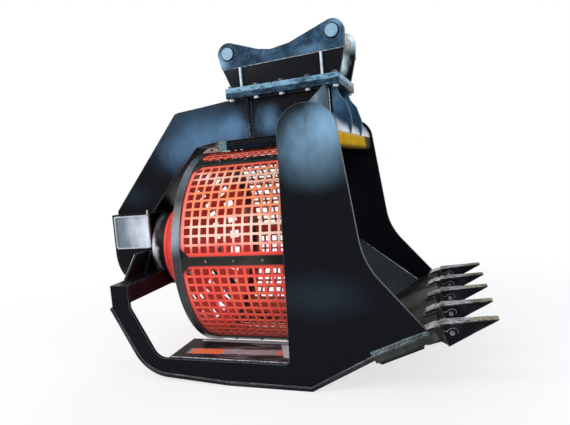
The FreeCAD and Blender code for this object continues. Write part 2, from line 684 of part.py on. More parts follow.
ARCH_IN = "sizes.arch_half - sizes.arch_t"
top_line = [arch_outline[9], arch_outline[8], arch_outline[7]]
top_under = offset_path(top_line, size("arch_t"))
top_under[-1] = meet(top_under[1], (top_line[2][0] - top_line[1][0], top_line[2][1] - top_line[1][1]),
                     top_line[2], (0, 1))
pad("arch_top_skin", "XZ_Plane", [top_line + top_under[::-1]], f"2 * ({ARCH_IN})", {"y": ARCH_IN})
under_line = [arch_outline[1], arch_outline[2], arch_outline[3], (hood_left, arch_edge_z)]
under_over = offset_path(under_line, -size("arch_t"))
first_way = (under_line[1][0] - under_line[0][0], under_line[1][1] - under_line[0][1])
under_over[0] = meet(under_over[1], first_way, under_line[0], (1, 0))
pad("arch_bottom_skin", "XZ_Plane", [under_line + under_over[::-1]], f"2 * ({ARCH_IN})", {"y": ARCH_IN})
front_x = size("arch_front_x") - size("arch_t")
front_foot = size("hood_z") + math.sqrt(hood_contact ** 2 - (front_x - size("hood_x")) ** 2)
front_outline = [
    (front_x, front_foot),
    (size("arch_front_x"), front_foot),
    (size("arch_front_x"), size("flange_z")),
    (front_x, size("flange_z")),
]
pad("arch_front_plate", "XZ_Plane", [front_outline], f"2 * ({ARCH_IN})", {"y": ARCH_IN})

# Gussets in front of the arch, with feet on the hood
foot_end = (hood_front_x + SEAT, size("hood_z") - size("gusset_foot"))
gusset_front = hood_front_x + size("gusset_out")
gusset_top = hood_front_x - size("gusset_neck")
gusset_mid = size("hood_z") + size("gusset_mid")
neck_rise = size("flange_z") - gusset_mid
foot_z = size("hood_z") + size("gusset_mid") * 0.45
gusset_outline = [
    (size("arch_front_x"), size("flange_z")),
    (size("arch_front_x"), size("hood_z") + hood_rise),
    (hood_front_x + SEAT, size("hood_z"),
     (size("hood_x") + hood_contact * 0.75, size("hood_z") + hood_contact * math.sqrt(1 - 0.75 ** 2))),
    foot_end,
    (hood_front_x + size("gusset_out") / 2, size("hood_z")),
    (gusset_front, foot_z),
    (gusset_front, gusset_mid),
    (gusset_front + (gusset_top - gusset_front) * 0.35, gusset_mid + neck_rise * 0.48),
    (gusset_front + (gusset_top - gusset_front) * 0.78, gusset_mid + neck_rise * 0.72),
    (gusset_top, size("flange_z")),
]
gusset_solids = []
for low in (-size("arch_half"), size("arch_half") - size("arch_t")):
    profile = []
    for a, b in zip(gusset_outline, gusset_outline[1:] + gusset_outline[:1]):
        start = Vector(a[0], low, a[1])
        end = Vector(b[0], low, b[1])
        if len(b) == 3:
            profile.append(Part.Arc(start, Vector(b[2][0], low, b[2][1]), end).toShape())
        else:
            profile.append(Part.LineSegment(start, end).toShape())
    gusset_solids.append(Part.Face(Part.Wire(profile)).extrude(Vector(0, size("arch_t"), 0)))
group_node("front_gussets", gusset_solids)

# Shoulder gussets from the flange down to the lobes
hood_top = size("hood_z") + size("hood_r")
shoulder_solids = []
for side in (-1, 1):
    shoulder = [
        (side * size("arch_half"), hood_top),
        (side * HALF_IN, hood_top),
        (side * HALF_IN, hood_top + size("shoulder_edge")),
        (side * size("flange_half"), size("flange_z")),
        (side * size("arch_half"), size("flange_z")),
    ]
    shoulder_solids.append(prism(shoulder, "x", size("shoulder_x"), size("shoulder_x") + size("gusset_t")))
group_node("shoulder_gussets", shoulder_solids)

# Ribs on the arch below the flange
rib_solids = []
for side in (-1, 1):
    rib = [
        (side * size("arch_half"), arch_edge_z),
        (side * size("arch_half"), size("flange_z")),
        (side * (size("arch_half") + size("rib_out")), size("flange_z")),
        (side * (size("arch_half") + size("rib_out")), size("flange_z") - size("rib_taper")),
    ]
    rib_solids.append(prism(rib, "x", size("rib_x"), size("rib_x") + size("rib_w")))
group_node("arch_ribs", rib_solids)

# Two flange plates, bolted together
bolt_y = size("flange_half") - size("bolt_edge")
count = int(size("bolt_count"))
bolt_step = size("bolt_step")
bolt_places = []
for index in range(count):
    for side in (-1, 1):
        bolt_places.append((size("flange_x") + size("bolt_edge") + index * bolt_step, side * bolt_y))
flange_outline = [
    (size("flange_x"), -size("flange_half")),
    (size("flange_x") + size("flange_len"), -size("flange_half")),
    (size("flange_x") + size("flange_len"), size("flange_half")),
    (size("flange_x"), size("flange_half")),
]


def octagon(centre, radius):
    """Corners of a bolt shank or its hole, with few faces because both repeat."""
    turns = [polar(radius, 45 * step + 22.5) for step in range(8)]
    return [(centre[0] + x, centre[1] + y) for x, y in turns]


bolt_holes = [octagon(place, size("bolt_r") + size("bolt_clear")) for place in bolt_places]
for label, low in (("body_flange", "sizes.flange_z"), ("hitch_base", "sizes.flange_z + sizes.flange_t")):
    pad(label, "XY_Plane", [flange_outline] + bolt_holes, "sizes.flange_t", {"z": low})
bolt_solids = []
for x, y in bolt_places:
    shank = prism(octagon((x, y), size("bolt_r")), "z", size("flange_z"), HITCH_Z)
    head = hexagon(size("bolt_af"), size("bolt_head"), Vector(x, y, HITCH_Z), Vector(0, 0, 1))
    nut = hexagon(size("bolt_af"), size("bolt_head"), Vector(x, y, size("flange_z")), Vector(0, 0, -1))
    bolt_solids.append(shank.fuse([head, nut]))
group_node("flange_bolts", bolt_solids)

# Hitch ears with doublers, ribs and the two pins
rear_pin = (size("rear_pin_x"), size("rear_pin_z"))
front_pin = (size("front_pin_x"), size("front_pin_z"))
ear_r = size("ear_round")
foot_rear = (size("flange_x") + size("ear_foot_in"), HITCH_Z)
foot_front = (size("flange_x") + size("flange_len") - 4, HITCH_Z)
step_rear = (foot_rear[0] - size("step_out"), size("step_rear_z"))
step_front = (foot_front[0] + size("step_out") - 11, size("step_front_z"))
span = front_pin[0] - rear_pin[0]


def around(pin, degrees):
    """Place on the rounded end of an ear."""
    x, z = polar(ear_r, degrees)
    return pin[0] + x, pin[1] + z


ear_top = [
    around(rear_pin, 180),
    (*around(rear_pin, 75), around(rear_pin, 130)),
    (rear_pin[0] + span * 0.3, rear_pin[1] + 3),
    (rear_pin[0] + span * 0.42, rear_pin[1] - 10),
    (rear_pin[0] + span * 0.6, rear_pin[1] + 6),
    around(front_pin, 112),
    (*around(front_pin, -10), around(front_pin, 50)),
]
pin_holes = [(rear_pin, "sizes.pin_r + sizes.pin_clear"), (front_pin, "sizes.pin_r + sizes.pin_clear")]
ear_outline = [step_rear] + ear_top + [step_front, foot_front, foot_rear]
side_pair("hitch_ear", [ear_outline], "sizes.ear_t", "sizes.ear_outer", circles=pin_holes)
side_pair(
    "ear_doubler", [[step_rear] + ear_top + [step_front]], "sizes.doubler_t",
    "sizes.ear_outer + sizes.doubler_t", circles=pin_holes,
)
PIN_HALF = "sizes.ear_outer + sizes.doubler_t + sizes.pin_proud"
for label, pin in (("rear_hitch_pin", rear_pin), ("front_hitch_pin", front_pin)):
    pad(label, "XZ_Plane", [], f"2 * ({PIN_HALF})", {"y": PIN_HALF}, circles=[(pin, "sizes.pin_r")])
ear_rib_solids = []
for x in (foot_rear[0] + size("ear_rib_in"), foot_front[0] - size("ear_rib_in") - 36):
    slope = (x - step_rear[0]) / (step_front[0] - step_rear[0])
    top = step_rear[1] + slope * (step_front[1] - step_rear[1])
    for side in (-1, 1):
        near = side * size("ear_outer")
        far = side * (size("ear_outer") + 22)
        rib = [(near, HITCH_Z), (far, HITCH_Z), (far, top - 4), (near, top - 4)]
        ear_rib_solids.append(prism(rib, "x", x, x + size("ear_rib_t")))
group_node("ear_ribs", ear_rib_solids)
EAR_IN = "sizes.ear_outer - sizes.ear_t"
mid_x = (rear_pin[0] + front_pin[0]) / 2
plate_outline = [
    (mid_x, HITCH_Z),
    (mid_x + size("cross_plate_t"), HITCH_Z),
    (mid_x + size("cross_plate_t"), HITCH_Z + size("cross_plate_h")),
    (mid_x, HITCH_Z + size("cross_plate_h")),
]
pad("hitch_cross_plate", "XZ_Plane", [plate_outline], f"2 * ({EAR_IN})", {"y": EAR_IN})


# Motor housing: a box that ends in a half barrel below
def barrel_outline(half, top):
    """Side walls and top with a half round bottom about the drum axis, as (y, z) corners."""
    return [
        (-half, size("axis_z")),
        (half, size("axis_z"), (0, size("axis_z") - half)),
        (half, top),
        (-half, top),
    ]


inner_half = size("housing_half") - size("housing_wall")
pad(
    "motor_housing", "YZ_Plane",
    [barrel_outline(size("housing_half"), size("housing_top_z")),
     barrel_outline(inner_half, size("housing_top_z") - size("housing_wall"))],
    "sizes.housing_len", {"x": "sizes.housing_rear_x"},
)
port_places = [(-size("port_pitch") / 2, size("port_z")), (size("port_pitch") / 2, size("port_z"))]
pad(
    "housing_rear_cover", "YZ_Plane", [barrel_outline(size("housing_half"), size("housing_top_z"))],
    "sizes.cover_t", {"x": "sizes.housing_rear_x - sizes.cover_t"},
    circles=[(place, "sizes.port_r") for place in port_places],
)
pad(
    "housing_flange", "YZ_Plane", [], "sizes.housing_flange_t",
    {"x": "sizes.housing_front_x"},
    circles=[((0, size("axis_z")), "sizes.housing_flange_r"), ((0, size("axis_z")), "sizes.housing_bore_r")],
)
panel_solids = []
frame_w = size("panel_frame")
panel_top = size("housing_top_z") - size("side_panel_drop")
panel_low = panel_top - size("side_panel_h")
panel_rear = HOUSING_REAR_X + size("side_panel_in")
panel_run = size("housing_len") - 2 * size("side_panel_in")
for side in (-1, 1):
    base = min(side * size("housing_half"), side * (size("housing_half") + size("side_panel_t")))
    plate = Part.makeBox(panel_run, size("side_panel_t"), size("side_panel_h"),
                         Vector(panel_rear, base, panel_low))
    recess_y = base + size("side_panel_t") / 2 if side > 0 else base
    recess = Part.makeBox(panel_run - 2 * frame_w, size("side_panel_t") / 2,
                          size("side_panel_h") - 2 * frame_w,
                          Vector(panel_rear + frame_w, recess_y, panel_low + frame_w))
    panel_solids.append(plate.cut(recess))
group_node("housing_side_panels", panel_solids)

# Gearbox and hydraulic motor inside the housing
gear_bore = size("shaft_r") + size("run_clear")
way_back = Vector(-1, 0, 0)


def inside_block(radius, front, length):
    """Faceted block about the drum axis, for what the closed housing hides."""
    sides = int(size("inside_sides"))
    ring = [polar(radius, 360 / sides * (step + 0.5)) for step in range(sides)]
    return prism([(y, size("axis_z") + z) for y, z in ring], "x", front - length, front)


gear_case = inside_block(size("gearbox_r"), HOUSING_FRONT_X, size("gearbox_len"))
gear_front = Vector(HOUSING_FRONT_X, 0, size("axis_z"))
gear_hole = Part.makeCylinder(gear_bore, size("shaft_in"), gear_front, way_back)
feature_node("gearbox", gear_case.cut(gear_hole))
motor_body = inside_block(size("motor_r"), HOUSING_FRONT_X - size("gearbox_len"), size("motor_len"))
feature_node("hydraulic_motor", motor_body)

# Rear cross beam in two halves, saddled on the housing and its flange
barrel = Part.makeCylinder(size("housing_half") + SEAT, size("housing_len"),
                           Vector(HOUSING_FRONT_X, 0, size("axis_z")), way_back)
collar = Part.makeCylinder(size("housing_flange_r") + SEAT, size("housing_flange_t") + SEAT,
                           Vector(HOUSING_FRONT_X - SEAT, 0, size("axis_z")), Vector(1, 0, 0))
beam_solids = []
for side in (-1, 1):
    low_z = size("beam_top_z") - size("beam_height")
    wall = size("beam_wall")
    start_y = -HALF_IN if side < 0 else 0
    outer = Part.makeBox(size("beam_depth"), HALF_IN, size("beam_height"),
                         Vector(size("beam_rear_x"), start_y, low_z))
    inner = Part.makeBox(size("beam_depth") - 2 * wall, HALF_IN, size("beam_height") - 2 * wall,
                         Vector(size("beam_rear_x") + wall, start_y, low_z + wall))
    beam = outer.cut(inner).cut(barrel).cut(collar)
    beam_solids.append(max(beam.Solids, key=lambda solid: solid.Volume))
group_node("rear_beams", beam_solids)
knee_solids = []
for side in (-1, 1):
    foot_y = side * (size("housing_half") + size("knee_run"))
    wall_y = side * (size("housing_half") + SEAT)
    middle_y = side * size("housing_half") * 0.75
    top_z = size("axis_z") + size("knee_over")
    knee = [(middle_y, size("beam_top_z")), (foot_y, size("beam_top_z")), (wall_y, top_z), (middle_y, top_z)]
    rear_x = size("beam_rear_x") + size("knee_in")
    knee_solids.append(prism(knee, "x", rear_x, rear_x + size("beam_wall")).cut(barrel))
group_node("housing_gussets", knee_solids)

# Guide brackets under the arch, above the drum
guide_y = size("arch_half") - size("guide_t")
drum_top = size("axis_z") + math.sqrt((size("drum_r") + size("guide_clear")) ** 2 - guide_y ** 2)
tail_x = size("guide_x") + size("guide_tail_lap") - size("guide_tail")
tail_mid = Vector(tail_x + size("guide_tail") / 2, guide_y, drum_top + size("guide_tail_h"))
tail_start = Vector(tail_x, guide_y, drum_top)
tail_end = Vector(tail_x + size("guide_tail"), guide_y, drum_top)
tail_edges = [Part.Arc(tail_start, tail_mid, tail_end).toShape(), Part.makeLine(tail_end, tail_start)]
tail = Part.Face(Part.Wire(tail_edges)).extrude(Vector(0, size("guide_t"), 0))
stem = Part.makeBox(size("guide_w"), size("guide_t"), arch_edge_z - drum_top,
                    Vector(size("guide_x"), guide_y, drum_top))
hole = Part.makeCylinder(size("guide_hole_r"), size("guide_t"),
                         Vector(tail_mid.x, guide_y, drum_top + size("guide_tail_h") / 2), Vector(0, 1, 0))
guide = stem.fuse(tail).removeSplitter().cut(hole)
group_node("guide_brackets", [guide, guide.mirror(Vector(0, 0, 0), Vector(0, 1, 0))])

# Guard under the arch: a channel that closes the arch towards the drum
guard_half = size("arch_half") - size("arch_t")
guard_low = size("axis_z") + size("drum_r") + size("guard_gap")
guard_wall = size("guard_wall")
guard_outline = [
    (-guard_half, arch_edge_z),
    (-guard_half, guard_low),
    (guard_half, guard_low),
    (guard_half, arch_edge_z),
    (guard_half - guard_wall, arch_edge_z),
    (guard_half - guard_wall, guard_low + guard_wall),
    (guard_wall - guard_half, guard_low + guard_wall),
    (guard_wall - guard_half, arch_edge_z),
]
pad(
    "arch_guard", "YZ_Plane", [guard_outline],
    "sizes.throat_x - sizes.throat_gap - sizes.ring_w - sizes.arch_under_x - 2 * sizes.guard_end",
    {"x": "sizes.arch_under_x + sizes.guard_end"},
)

# Drum rings
RING_IN = "sizes.drum_r - sizes.ring_h"
FRONT_RING_X = "sizes.drum_rear_x + sizes.ring_w + sizes.panel_len"
for label, place in (("drum_rear_ring", "sizes.drum_rear_x"), ("drum_front_ring", FRONT_RING_X)):
    pad(label, "YZ_Plane", [], "sizes.ring_w", {"x": place, "z": "sizes.axis_z"},
        circles=[((0, 0), "sizes.drum_r"), ((0, 0), RING_IN)])

# Clamp bars over the joints of the panels
bar_low = size("drum_r") - size("bar_t") - 1
half_bar = size("bar_w") / 2
flare = size("bar_flare")
bar_end = size("panel_len")
bar_points = [
    (0, -half_bar - flare), (flare, -half_bar), (bar_end - flare, -half_bar), (bar_end, -half_bar - flare),
    (bar_end, half_bar + flare), (bar_end - flare, half_bar), (flare, half_bar), (0, half_bar + flare),
]
bar = prism(bar_points, "z", bar_low, bar_low + size("bar_t"))
bar.translate(Vector(PANEL_X, 0, 0))


def turned(shape, degrees):
    """Copy of a shape made about the X axis, turned and lifted to the drum axis."""
    copy = shape.copy()
    copy.rotate(Vector(0, 0, 0), Vector(1, 0, 0), degrees)
    copy.translate(AXIS)
    return copy


group_node("clamp_bars", [turned(bar, 60 * step + 30) for step in range(6)])
screw_solids = []
for step in range(6):
    for index in (-1, 0, 1):
        x = PANEL_X + size("panel_len") / 2 + index * size("screw_pitch")
        foot = Vector(x, 0, bar_low + size("bar_t"))
        screw = hexagon(size("screw_af"), size("screw_h"), foot, Vector(0, 0, 1))
        screw_solids.append(turned(screw, 60 * step + 30))
group_node("clamp_screws", screw_solids)


# Screen panels: a sixth of the drum each, with rows of square holes
def screen_panel():
    """One panel about the X axis, its middle on +Z, in flat facets between two clamp bars."""
    outer_r = bar_low
    rows = int(size("facets"))
    edge_angle = math.degrees(math.atan(half_bar / outer_r))
    corner_r = outer_r / math.cos(math.radians(edge_angle))
    span_angle = 60 - 2 * edge_angle
    gap_angle = math.degrees(math.atan(size("panel_gap") / 2 / outer_r))
    angles = [edge_angle - 30 + span_angle * step / rows for step in range(rows + 1)]
    radii = [corner_r] * len(angles)
    angles = [gap_angle - 30] + angles + [30 - gap_angle]
    radii = [outer_r] + radii + [outer_r]
    outer = [polar(radius, 90 - angle) for radius, angle in zip(radii, angles)]
    inner = [polar(radius - size("panel_t"), 90 - angle) for radius, angle in zip(radii, angles)]
    sheet_solid = prism(outer + inner[::-1], "x", PANEL_X, PANEL_X + size("panel_len"))
    hole = size("hole_side")
    pitch = size("panel_len") / size("columns")
    cutters = []
    for row_index in range(rows):
        middle = (angles[row_index + 1] + angles[row_index + 2]) / 2
        for column in range(int(size("columns"))):
            x = PANEL_X + pitch * (column + 0.5)
            cutter = Part.makeBox(hole, hole, 60, Vector(x - hole / 2, -hole / 2, outer_r - 30))
            cutter.rotate(Vector(0, 0, 0), Vector(1, 0, 0), -middle)
            cutters.append(cutter)
    return sheet_solid.cut(Part.makeCompound(cutters))


panel_shape = screen_panel()
for step in range(6):
    turn = Placement(AXIS, Rotation(Vector(1, 0, 0), 60 * step))
    feature_node(f"screen_panel_{step + 1}", panel_shape.copy(), turn)


# Rear cone between the hub and the rear ring
def cone_ring(x, radius):
    """Corners of the cone's facets at one place, about the X axis."""
    sides = int(size("cone_sides"))
    return [Vector(x, *polar(radius, 360 / sides * (step + 0.5))) for step in range(sides)]


def frustum(small_r, big_r):
    """Solid with flat facets between the hub and the rear ring."""
    small = cone_ring(cone_x, small_r)
    big = cone_ring(size("drum_rear_x"), big_r)
    sides = [[small[i - 1], small[i], big[i], big[i - 1]] for i in range(len(small))]
    return polyhedron([small, big] + sides)


cone_x = size("hub_x") + size("hub_t")
cone_big_r = size("drum_r") - size("ring_h") + 3
cone = frustum(size("cone_small_r") + size("cone_t"), cone_big_r + size("cone_t"))
cone = cone.cut(frustum(size("cone_small_r"), cone_big_r))
slant = math.degrees(math.atan2(cone_big_r - size("cone_small_r"), size("drum_rear_x") - cone_x))
cone_rows = [(size("cone_hole_row"), size("cone_hole")), (size("cone_front_row"), size("cone_front_hole"))]
cone_cutters = []
for step in range(int(size("cone_sides"))):
    for row, hole in cone_rows:
        share = row / size("cone_len")
        x = cone_x + row
        radius = size("cone_small_r") + (cone_big_r - size("cone_small_r")) * share
        cutter = Part.makeBox(hole * 1.4, hole, 60, Vector(-hole * 0.7, -hole / 2, -30))
        cutter.rotate(Vector(0, 0, 0), Vector(0, 1, 0), -slant)
        cutter.translate(Vector(x, 0, radius))
        cutter.rotate(Vector(0, 0, 0), Vector(1, 0, 0), 360 / size("cone_sides") * step)
        cone_cutters.append(cutter)
cone = cone.cut(Part.makeCompound(cone_cutters))
feature_node("rear_cone", cone, Placement(AXIS, Rotation()))

# Hub plate with the output shaft
hub_plate = Part.makeCylinder(size("hub_r"), size("hub_t"), Vector(size("hub_x"), 0, size("axis_z")),
                              Vector(1, 0, 0))
shaft = Part.makeCylinder(size("shaft_r"), size("shaft_len"), Vector(size("hub_x"), 0, size("axis_z")),
                          way_back)
feature_node("drum_hub", hub_plate.fuse(shaft).removeSplitter())
hub_bolts = []
for step in range(int(size("hub_bolt_count"))):
    y, z = polar(size("hub_bolt_circle"), 360 / size("hub_bolt_count") * step)
    hub_bolts.append(hexagon(size("hub_bolt_af"), size("hub_bolt_h"),
                             Vector(size("hub_x") + size("hub_t"), y, size("axis_z") + z), Vector(1, 0, 0)))
group_node("hub_bolts", hub_bolts)

# Teeth: adapter welded on the lip, and a tip on its nose
EDGE = along(on_lip(size("lip_depth")), LIP_DOWN, size("lip_t") / 2)
TOOTH_WAY = polar(1, size("tooth_angle"))
TOOTH_UP = (-TOOTH_WAY[1], TOOTH_WAY[0])


def on_tooth(distance, up):
    """Side view place along and above the axis of a tooth."""
    return along(along(EDGE, TOOTH_WAY, distance), TOOTH_UP, up - size("tooth_drop"))


def tapered(start, length, rear, end):
    """Block along the tooth axis from (height, width) at its rear to (height, width) at its end."""
    rings = []
    for distance, (height, width) in ((start, rear), (start + length, end)):
        high = on_tooth(distance, height / 2)
        low = on_tooth(distance, -height / 2)
        rings.append([
            Vector(high[0], -width / 2, high[1]),
            Vector(high[0], width / 2, high[1]),
            Vector(low[0], width / 2, low[1]),
            Vector(low[0], -width / 2, low[1]),
        ])
    first, last = rings
    sides = [[first[i], first[(i + 1) % 4], last[(i + 1) % 4], last[i]] for i in range(4)]
    return polyhedron([first, last] + sides)


def block_at(distance, height):
    return on_tooth(distance, height / 2), on_tooth(distance, -height / 2)


tooth_start = size("tooth_start")
taper = size("nose_len") / size("tooth_len")
inside_h = size("tooth_h") - 2 * size("tip_wall")
inside_w = size("tooth_w") - 2 * size("tip_wall")
end_h = inside_h + (size("tooth_end_h") - size("tooth_h")) * taper
end_w = inside_w + (size("tooth_end_w") - size("tooth_w")) * taper
gap = 2 * size("nose_clear")
socket = tapered(tooth_start, size("nose_len") + size("nose_clear"), (inside_h, inside_w), (end_h, end_w))
nose = tapered(tooth_start, size("nose_len"), (inside_h - gap, inside_w - gap), (end_h - gap, end_w - gap))
tip_shape = tapered(tooth_start, size("tooth_len"), (size("tooth_h"), size("tooth_w")),
                    (size("tooth_end_h"), size("tooth_end_w"))).cut(socket)
lip_end = size("lip_depth")
block_top, block_low = block_at(tooth_start, size("tooth_h") - 12)
adapter_profile = [
    on_lip(lip_end - size("strap_len")),
    on_lip(lip_end - size("strap_len") + 12, size("strap_t")),
    on_lip(lip_end - 6, size("strap_t") + 2),
    block_top,
    block_low,
    on_lip(lip_end, -size("lip_t") - size("strap_t")),
    on_lip(lip_end - size("strap_len"), -size("lip_t") - size("strap_t") + 6),
    on_lip(lip_end - size("strap_len") - 12, -size("lip_t")),
    on_lip(lip_end, -size("lip_t")),
    on_lip(lip_end),
]
half_adapter = size("adapter_w") / 2
adapter_shape = prism(adapter_profile, "y", -half_adapter, half_adapter).fuse(nose).removeSplitter()
tooth_count = int(size("tooth_count"))
tooth_span = 2 * (HALF_OUT - size("tooth_edge"))
tooth_places = [tooth_span * (step / (tooth_count - 1) - 0.5) for step in range(tooth_count)]
for label, shape in (("tooth_adapters", adapter_shape), ("tooth_tips", tip_shape)):
    copies = []
    for y in tooth_places:
        copy = shape.copy()
        copy.translate(Vector(0, y, 0))
        copies.append(copy)
    group_node(label, copies)

# Check every object, then write one file for each sub-part
doc.recompute()
faults = [item.Label for item in doc.Objects if "Invalid" in item.State or "Error" in item.State]
for node in NODES:
    shape = node.Shape
    if shape.isNull() or not shape.isValid() or not shape.Solids:
        faults.append(node.Label)
if faults:
    raise RuntimeError("not built: " + ", ".join(sorted(set(faults))))
for node in NODES:
    node.Shape.exportStep(f"parts/{node.Label}.step")
print(len(NODES), "nodes written")
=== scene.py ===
"""Screening bucket: finishes, detailed pieces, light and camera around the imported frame."""

import json
import logging
import math
import random
from dataclasses import dataclass, field
from enum import Enum
from typing import Iterable, Optional, Sequence, Union

import bmesh
import bpy
from mathutils import Matrix, Vector


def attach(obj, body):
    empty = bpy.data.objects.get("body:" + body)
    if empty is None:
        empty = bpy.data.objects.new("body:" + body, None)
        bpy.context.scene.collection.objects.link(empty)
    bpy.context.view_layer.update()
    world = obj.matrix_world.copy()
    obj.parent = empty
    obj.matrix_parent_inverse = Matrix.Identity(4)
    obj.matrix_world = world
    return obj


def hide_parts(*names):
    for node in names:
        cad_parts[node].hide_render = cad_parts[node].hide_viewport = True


LOG = logging.getLogger("screening_bucket")
Point = tuple[float, float, float]
Flat = tuple[float, float]
Number = Union[int, float]
MERGE = 0.00002  # metres, the distance below which points are one


class Body(Enum):
    """The rigid bodies that a piece can ride on."""

    FRAME = "frame"
    DRUM = "drum"


class Side(Enum):
    """The two sides of the bucket, by the sign of Y."""

    RIGHT = -1
    LEFT = 1


# Shader maths


class Val:
    """A node socket that takes part in Python expressions on plain values."""

    def __init__(self, graph: "Graph", socket: bpy.types.NodeSocket) -> None:
        """Wrap a socket.

        Args:
            graph: The graph that the socket's node belongs to.
            socket: An output socket.
        """
        self.graph = graph
        self.socket = socket

    def _math(self, operation: str, *values: Union["Val", Number]) -> "Val":
        """Add a Math node and return its result."""
        return self.graph.node("ShaderNodeMath", {"operation": operation}, dict(enumerate(values)))

    def __add__(self, other: Union["Val", Number]) -> "Val":
        """Sum."""
        return self._math("ADD", self, other)

    __radd__ = __add__

    def __sub__(self, other: Union["Val", Number]) -> "Val":
        """Difference."""
        return self._math("SUBTRACT", self, other)

    def __rsub__(self, other: Union["Val", Number]) -> "Val":
        """Difference from a plain number."""
        return self._math("SUBTRACT", other, self)

    def __mul__(self, other: Union["Val", Number]) -> "Val":
        """Product."""
        return self._math("MULTIPLY", self, other)

    __rmul__ = __mul__

    def __truediv__(self, other: Union["Val", Number]) -> "Val":
        """Quotient."""
        return self._math("DIVIDE", self, other)

    def __pow__(self, other: Union["Val", Number]) -> "Val":
        """Power."""
        return self._math("POWER", self, other)

    def __abs__(self) -> "Val":
        """Size without its sign."""
        return self._math("ABSOLUTE", self)

    def most(self, other: Union["Val", Number]) -> "Val":
        """Return the larger of this and another value."""
        return self._math("MAXIMUM", self, other)

    def least(self, other: Union["Val", Number]) -> "Val":
        """Return the smaller of this and another value."""
        return self._math("MINIMUM", self, other)

    def smooth(self, low: float, high: float) -> "Val":
        """Return a smooth step from 0 at low to 1 at high."""
        settings = {"interpolation_type": "SMOOTHSTEP"}
        if low <= high:
            return self.graph.node("ShaderNodeMapRange", settings, {"Value": self, 1: low, 2: high})
        step = self.graph.node("ShaderNodeMapRange", settings, {"Value": self, 1: high, 2: low})
        return 1 - step


Input = Union[Val, Number, Sequence[float]]


class Graph:
    """Node tree of one material or of the world."""

    def __init__(self, name: str, world: Optional[bpy.types.World] = None) -> None:
        """Start an empty tree.

        Args:
            name: The material's name.
            world: The world to fill instead of a new material.
        """
        self.owner = world or bpy.data.materials.new(name)
        self.end = "ShaderNodeOutputWorld" if world else "ShaderNodeOutputMaterial"
        self.owner.use_nodes = True
        self.tree = self.owner.node_tree
        self.tree.nodes.clear()

    def node(
        self,
        kind: str,
        settings: Optional[dict[str, object]] = None,
        inputs: Optional[dict[Union[str, int], Input]] = None,
        output: Union[str, int] = 0,
    ) -> Val:
        """Add a node and return one of its outputs.

        Args:
            kind: The node's type name.
            settings: Properties, which are set first.
            inputs: Socket values or links, by name or number.
            output: The output to return, by name or number.

        Returns:
            The wrapped output socket.
        """
        node = self.tree.nodes.new(kind)
        for key, value in (settings or {}).items():
            setattr(node, key, value)
        for key, value in (inputs or {}).items():
            socket = node.inputs[key]
            if isinstance(value, Val):
                self.tree.links.new(value.socket, socket)
            elif isinstance(value, (int, float)) or len(value) == len(socket.default_value):
                socket.default_value = value
            else:
                socket.default_value = (*value, 1.0)
        return Val(self, node.outputs[output])

    def place(self) -> Val:
        """Return the Object coordinates, which are the row frame in metres."""
        return self.node("ShaderNodeTexCoord", output="Object")

    def axes(self, vector: Val) -> tuple[Val, Val, Val]:
        """Split a vector into its three values."""
        node = self.tree.nodes.new("ShaderNodeSeparateXYZ")
        self.tree.links.new(vector.socket, node.inputs[0])
        return tuple(Val(self, socket) for socket in node.outputs)

    def scaled(self, vector: Val, factors: Point) -> Val:
        """Return coordinates stretched along each axis."""
        return self.node("ShaderNodeVectorMath", {"operation": "MULTIPLY"}, {0: vector, 1: factors})

    def noise(self, vector: Val, scale: float, detail: float = 3.0, rough: float = 0.55) -> Val:
        """Return a noise value about 0.5."""
        return self.node(
            "ShaderNodeTexNoise", None,
            {"Vector": vector, "Scale": scale, "Detail": detail, "Roughness": rough},
        )

    def mix(self, factor: Input, first: Input, second: Input) -> Val:
        """Return a blend of two colours."""
        return self.node("ShaderNodeMix", {"data_type": "RGBA"}, {0: factor, 6: first, 7: second}, 2)

    def bump(self, height: Val, strength: float, distance: float) -> Val:
        """Return a normal bent by a height."""
        return self.node(
            "ShaderNodeBump", None, {"Height": height, "Strength": strength, "Distance": distance}
        )

    def finish(self, inputs: dict[str, Input]) -> bpy.types.Material:
        """Close the tree with a Principled shader.

        Args:
            inputs: Values or links of the shader's sockets.

        Returns:
            The finished material.
        """
        return self.close(self.node("ShaderNodeBsdfPrincipled", None, inputs))

    def close(self, surface: Val) -> bpy.types.ID:
        """Link a shader to the tree's output.

        Args:
            surface: The shader's output.

        Returns:
            The finished material or world.
        """
        end = self.tree.nodes.new(self.end)
        self.tree.links.new(surface.socket, end.inputs[0])
        return self.owner


# Finishes


@dataclass(frozen=True)
class SheenPatch:
    """A soft painted highlight on a plate, seen from the side: the sky's reflection painted into the
    colour.
    """

    centre: Flat
    reach: Flat
    gain: float


def unlit(x: Val, z: Val, patches: Sequence[SheenPatch]) -> Union[Val, Number]:
    """Return how much of a plate's own colour is left where soft painted highlights lie over each other.

    Args:
        x: Place along the bucket.
        z: Height.
        patches: The painted highlights.

    Returns:
        A value from 1 outside all patches down to 0 where they are strongest.
    """
    left: Union[Val, Number] = 1.0
    for patch in patches:
        along = (x - patch.centre[0]) / patch.reach[0]
        up = (z - patch.centre[1]) / patch.reach[1]
        spread = (along * along + up * up) ** 0.5
        left = (1 - patch.gain * spread.smooth(1.0, 0.0)) * left
    return left


@dataclass(frozen=True)
class Finish:
    """A named finish, which builds its own material."""

    name: str

    def sockets(self, g: Graph, place: Val) -> dict[str, Input]:
        """Return the inputs of the Principled shader.

        Args:
            g: The graph to add to.
            place: The Object coordinates.

        Returns:
            Values and links by the sockets' names.
        """
        raise NotImplementedError

    def build(self) -> bpy.types.Material:
        """Return the material."""
        g = Graph(self.name)
        return g.finish(self.sockets(g, g.place()))


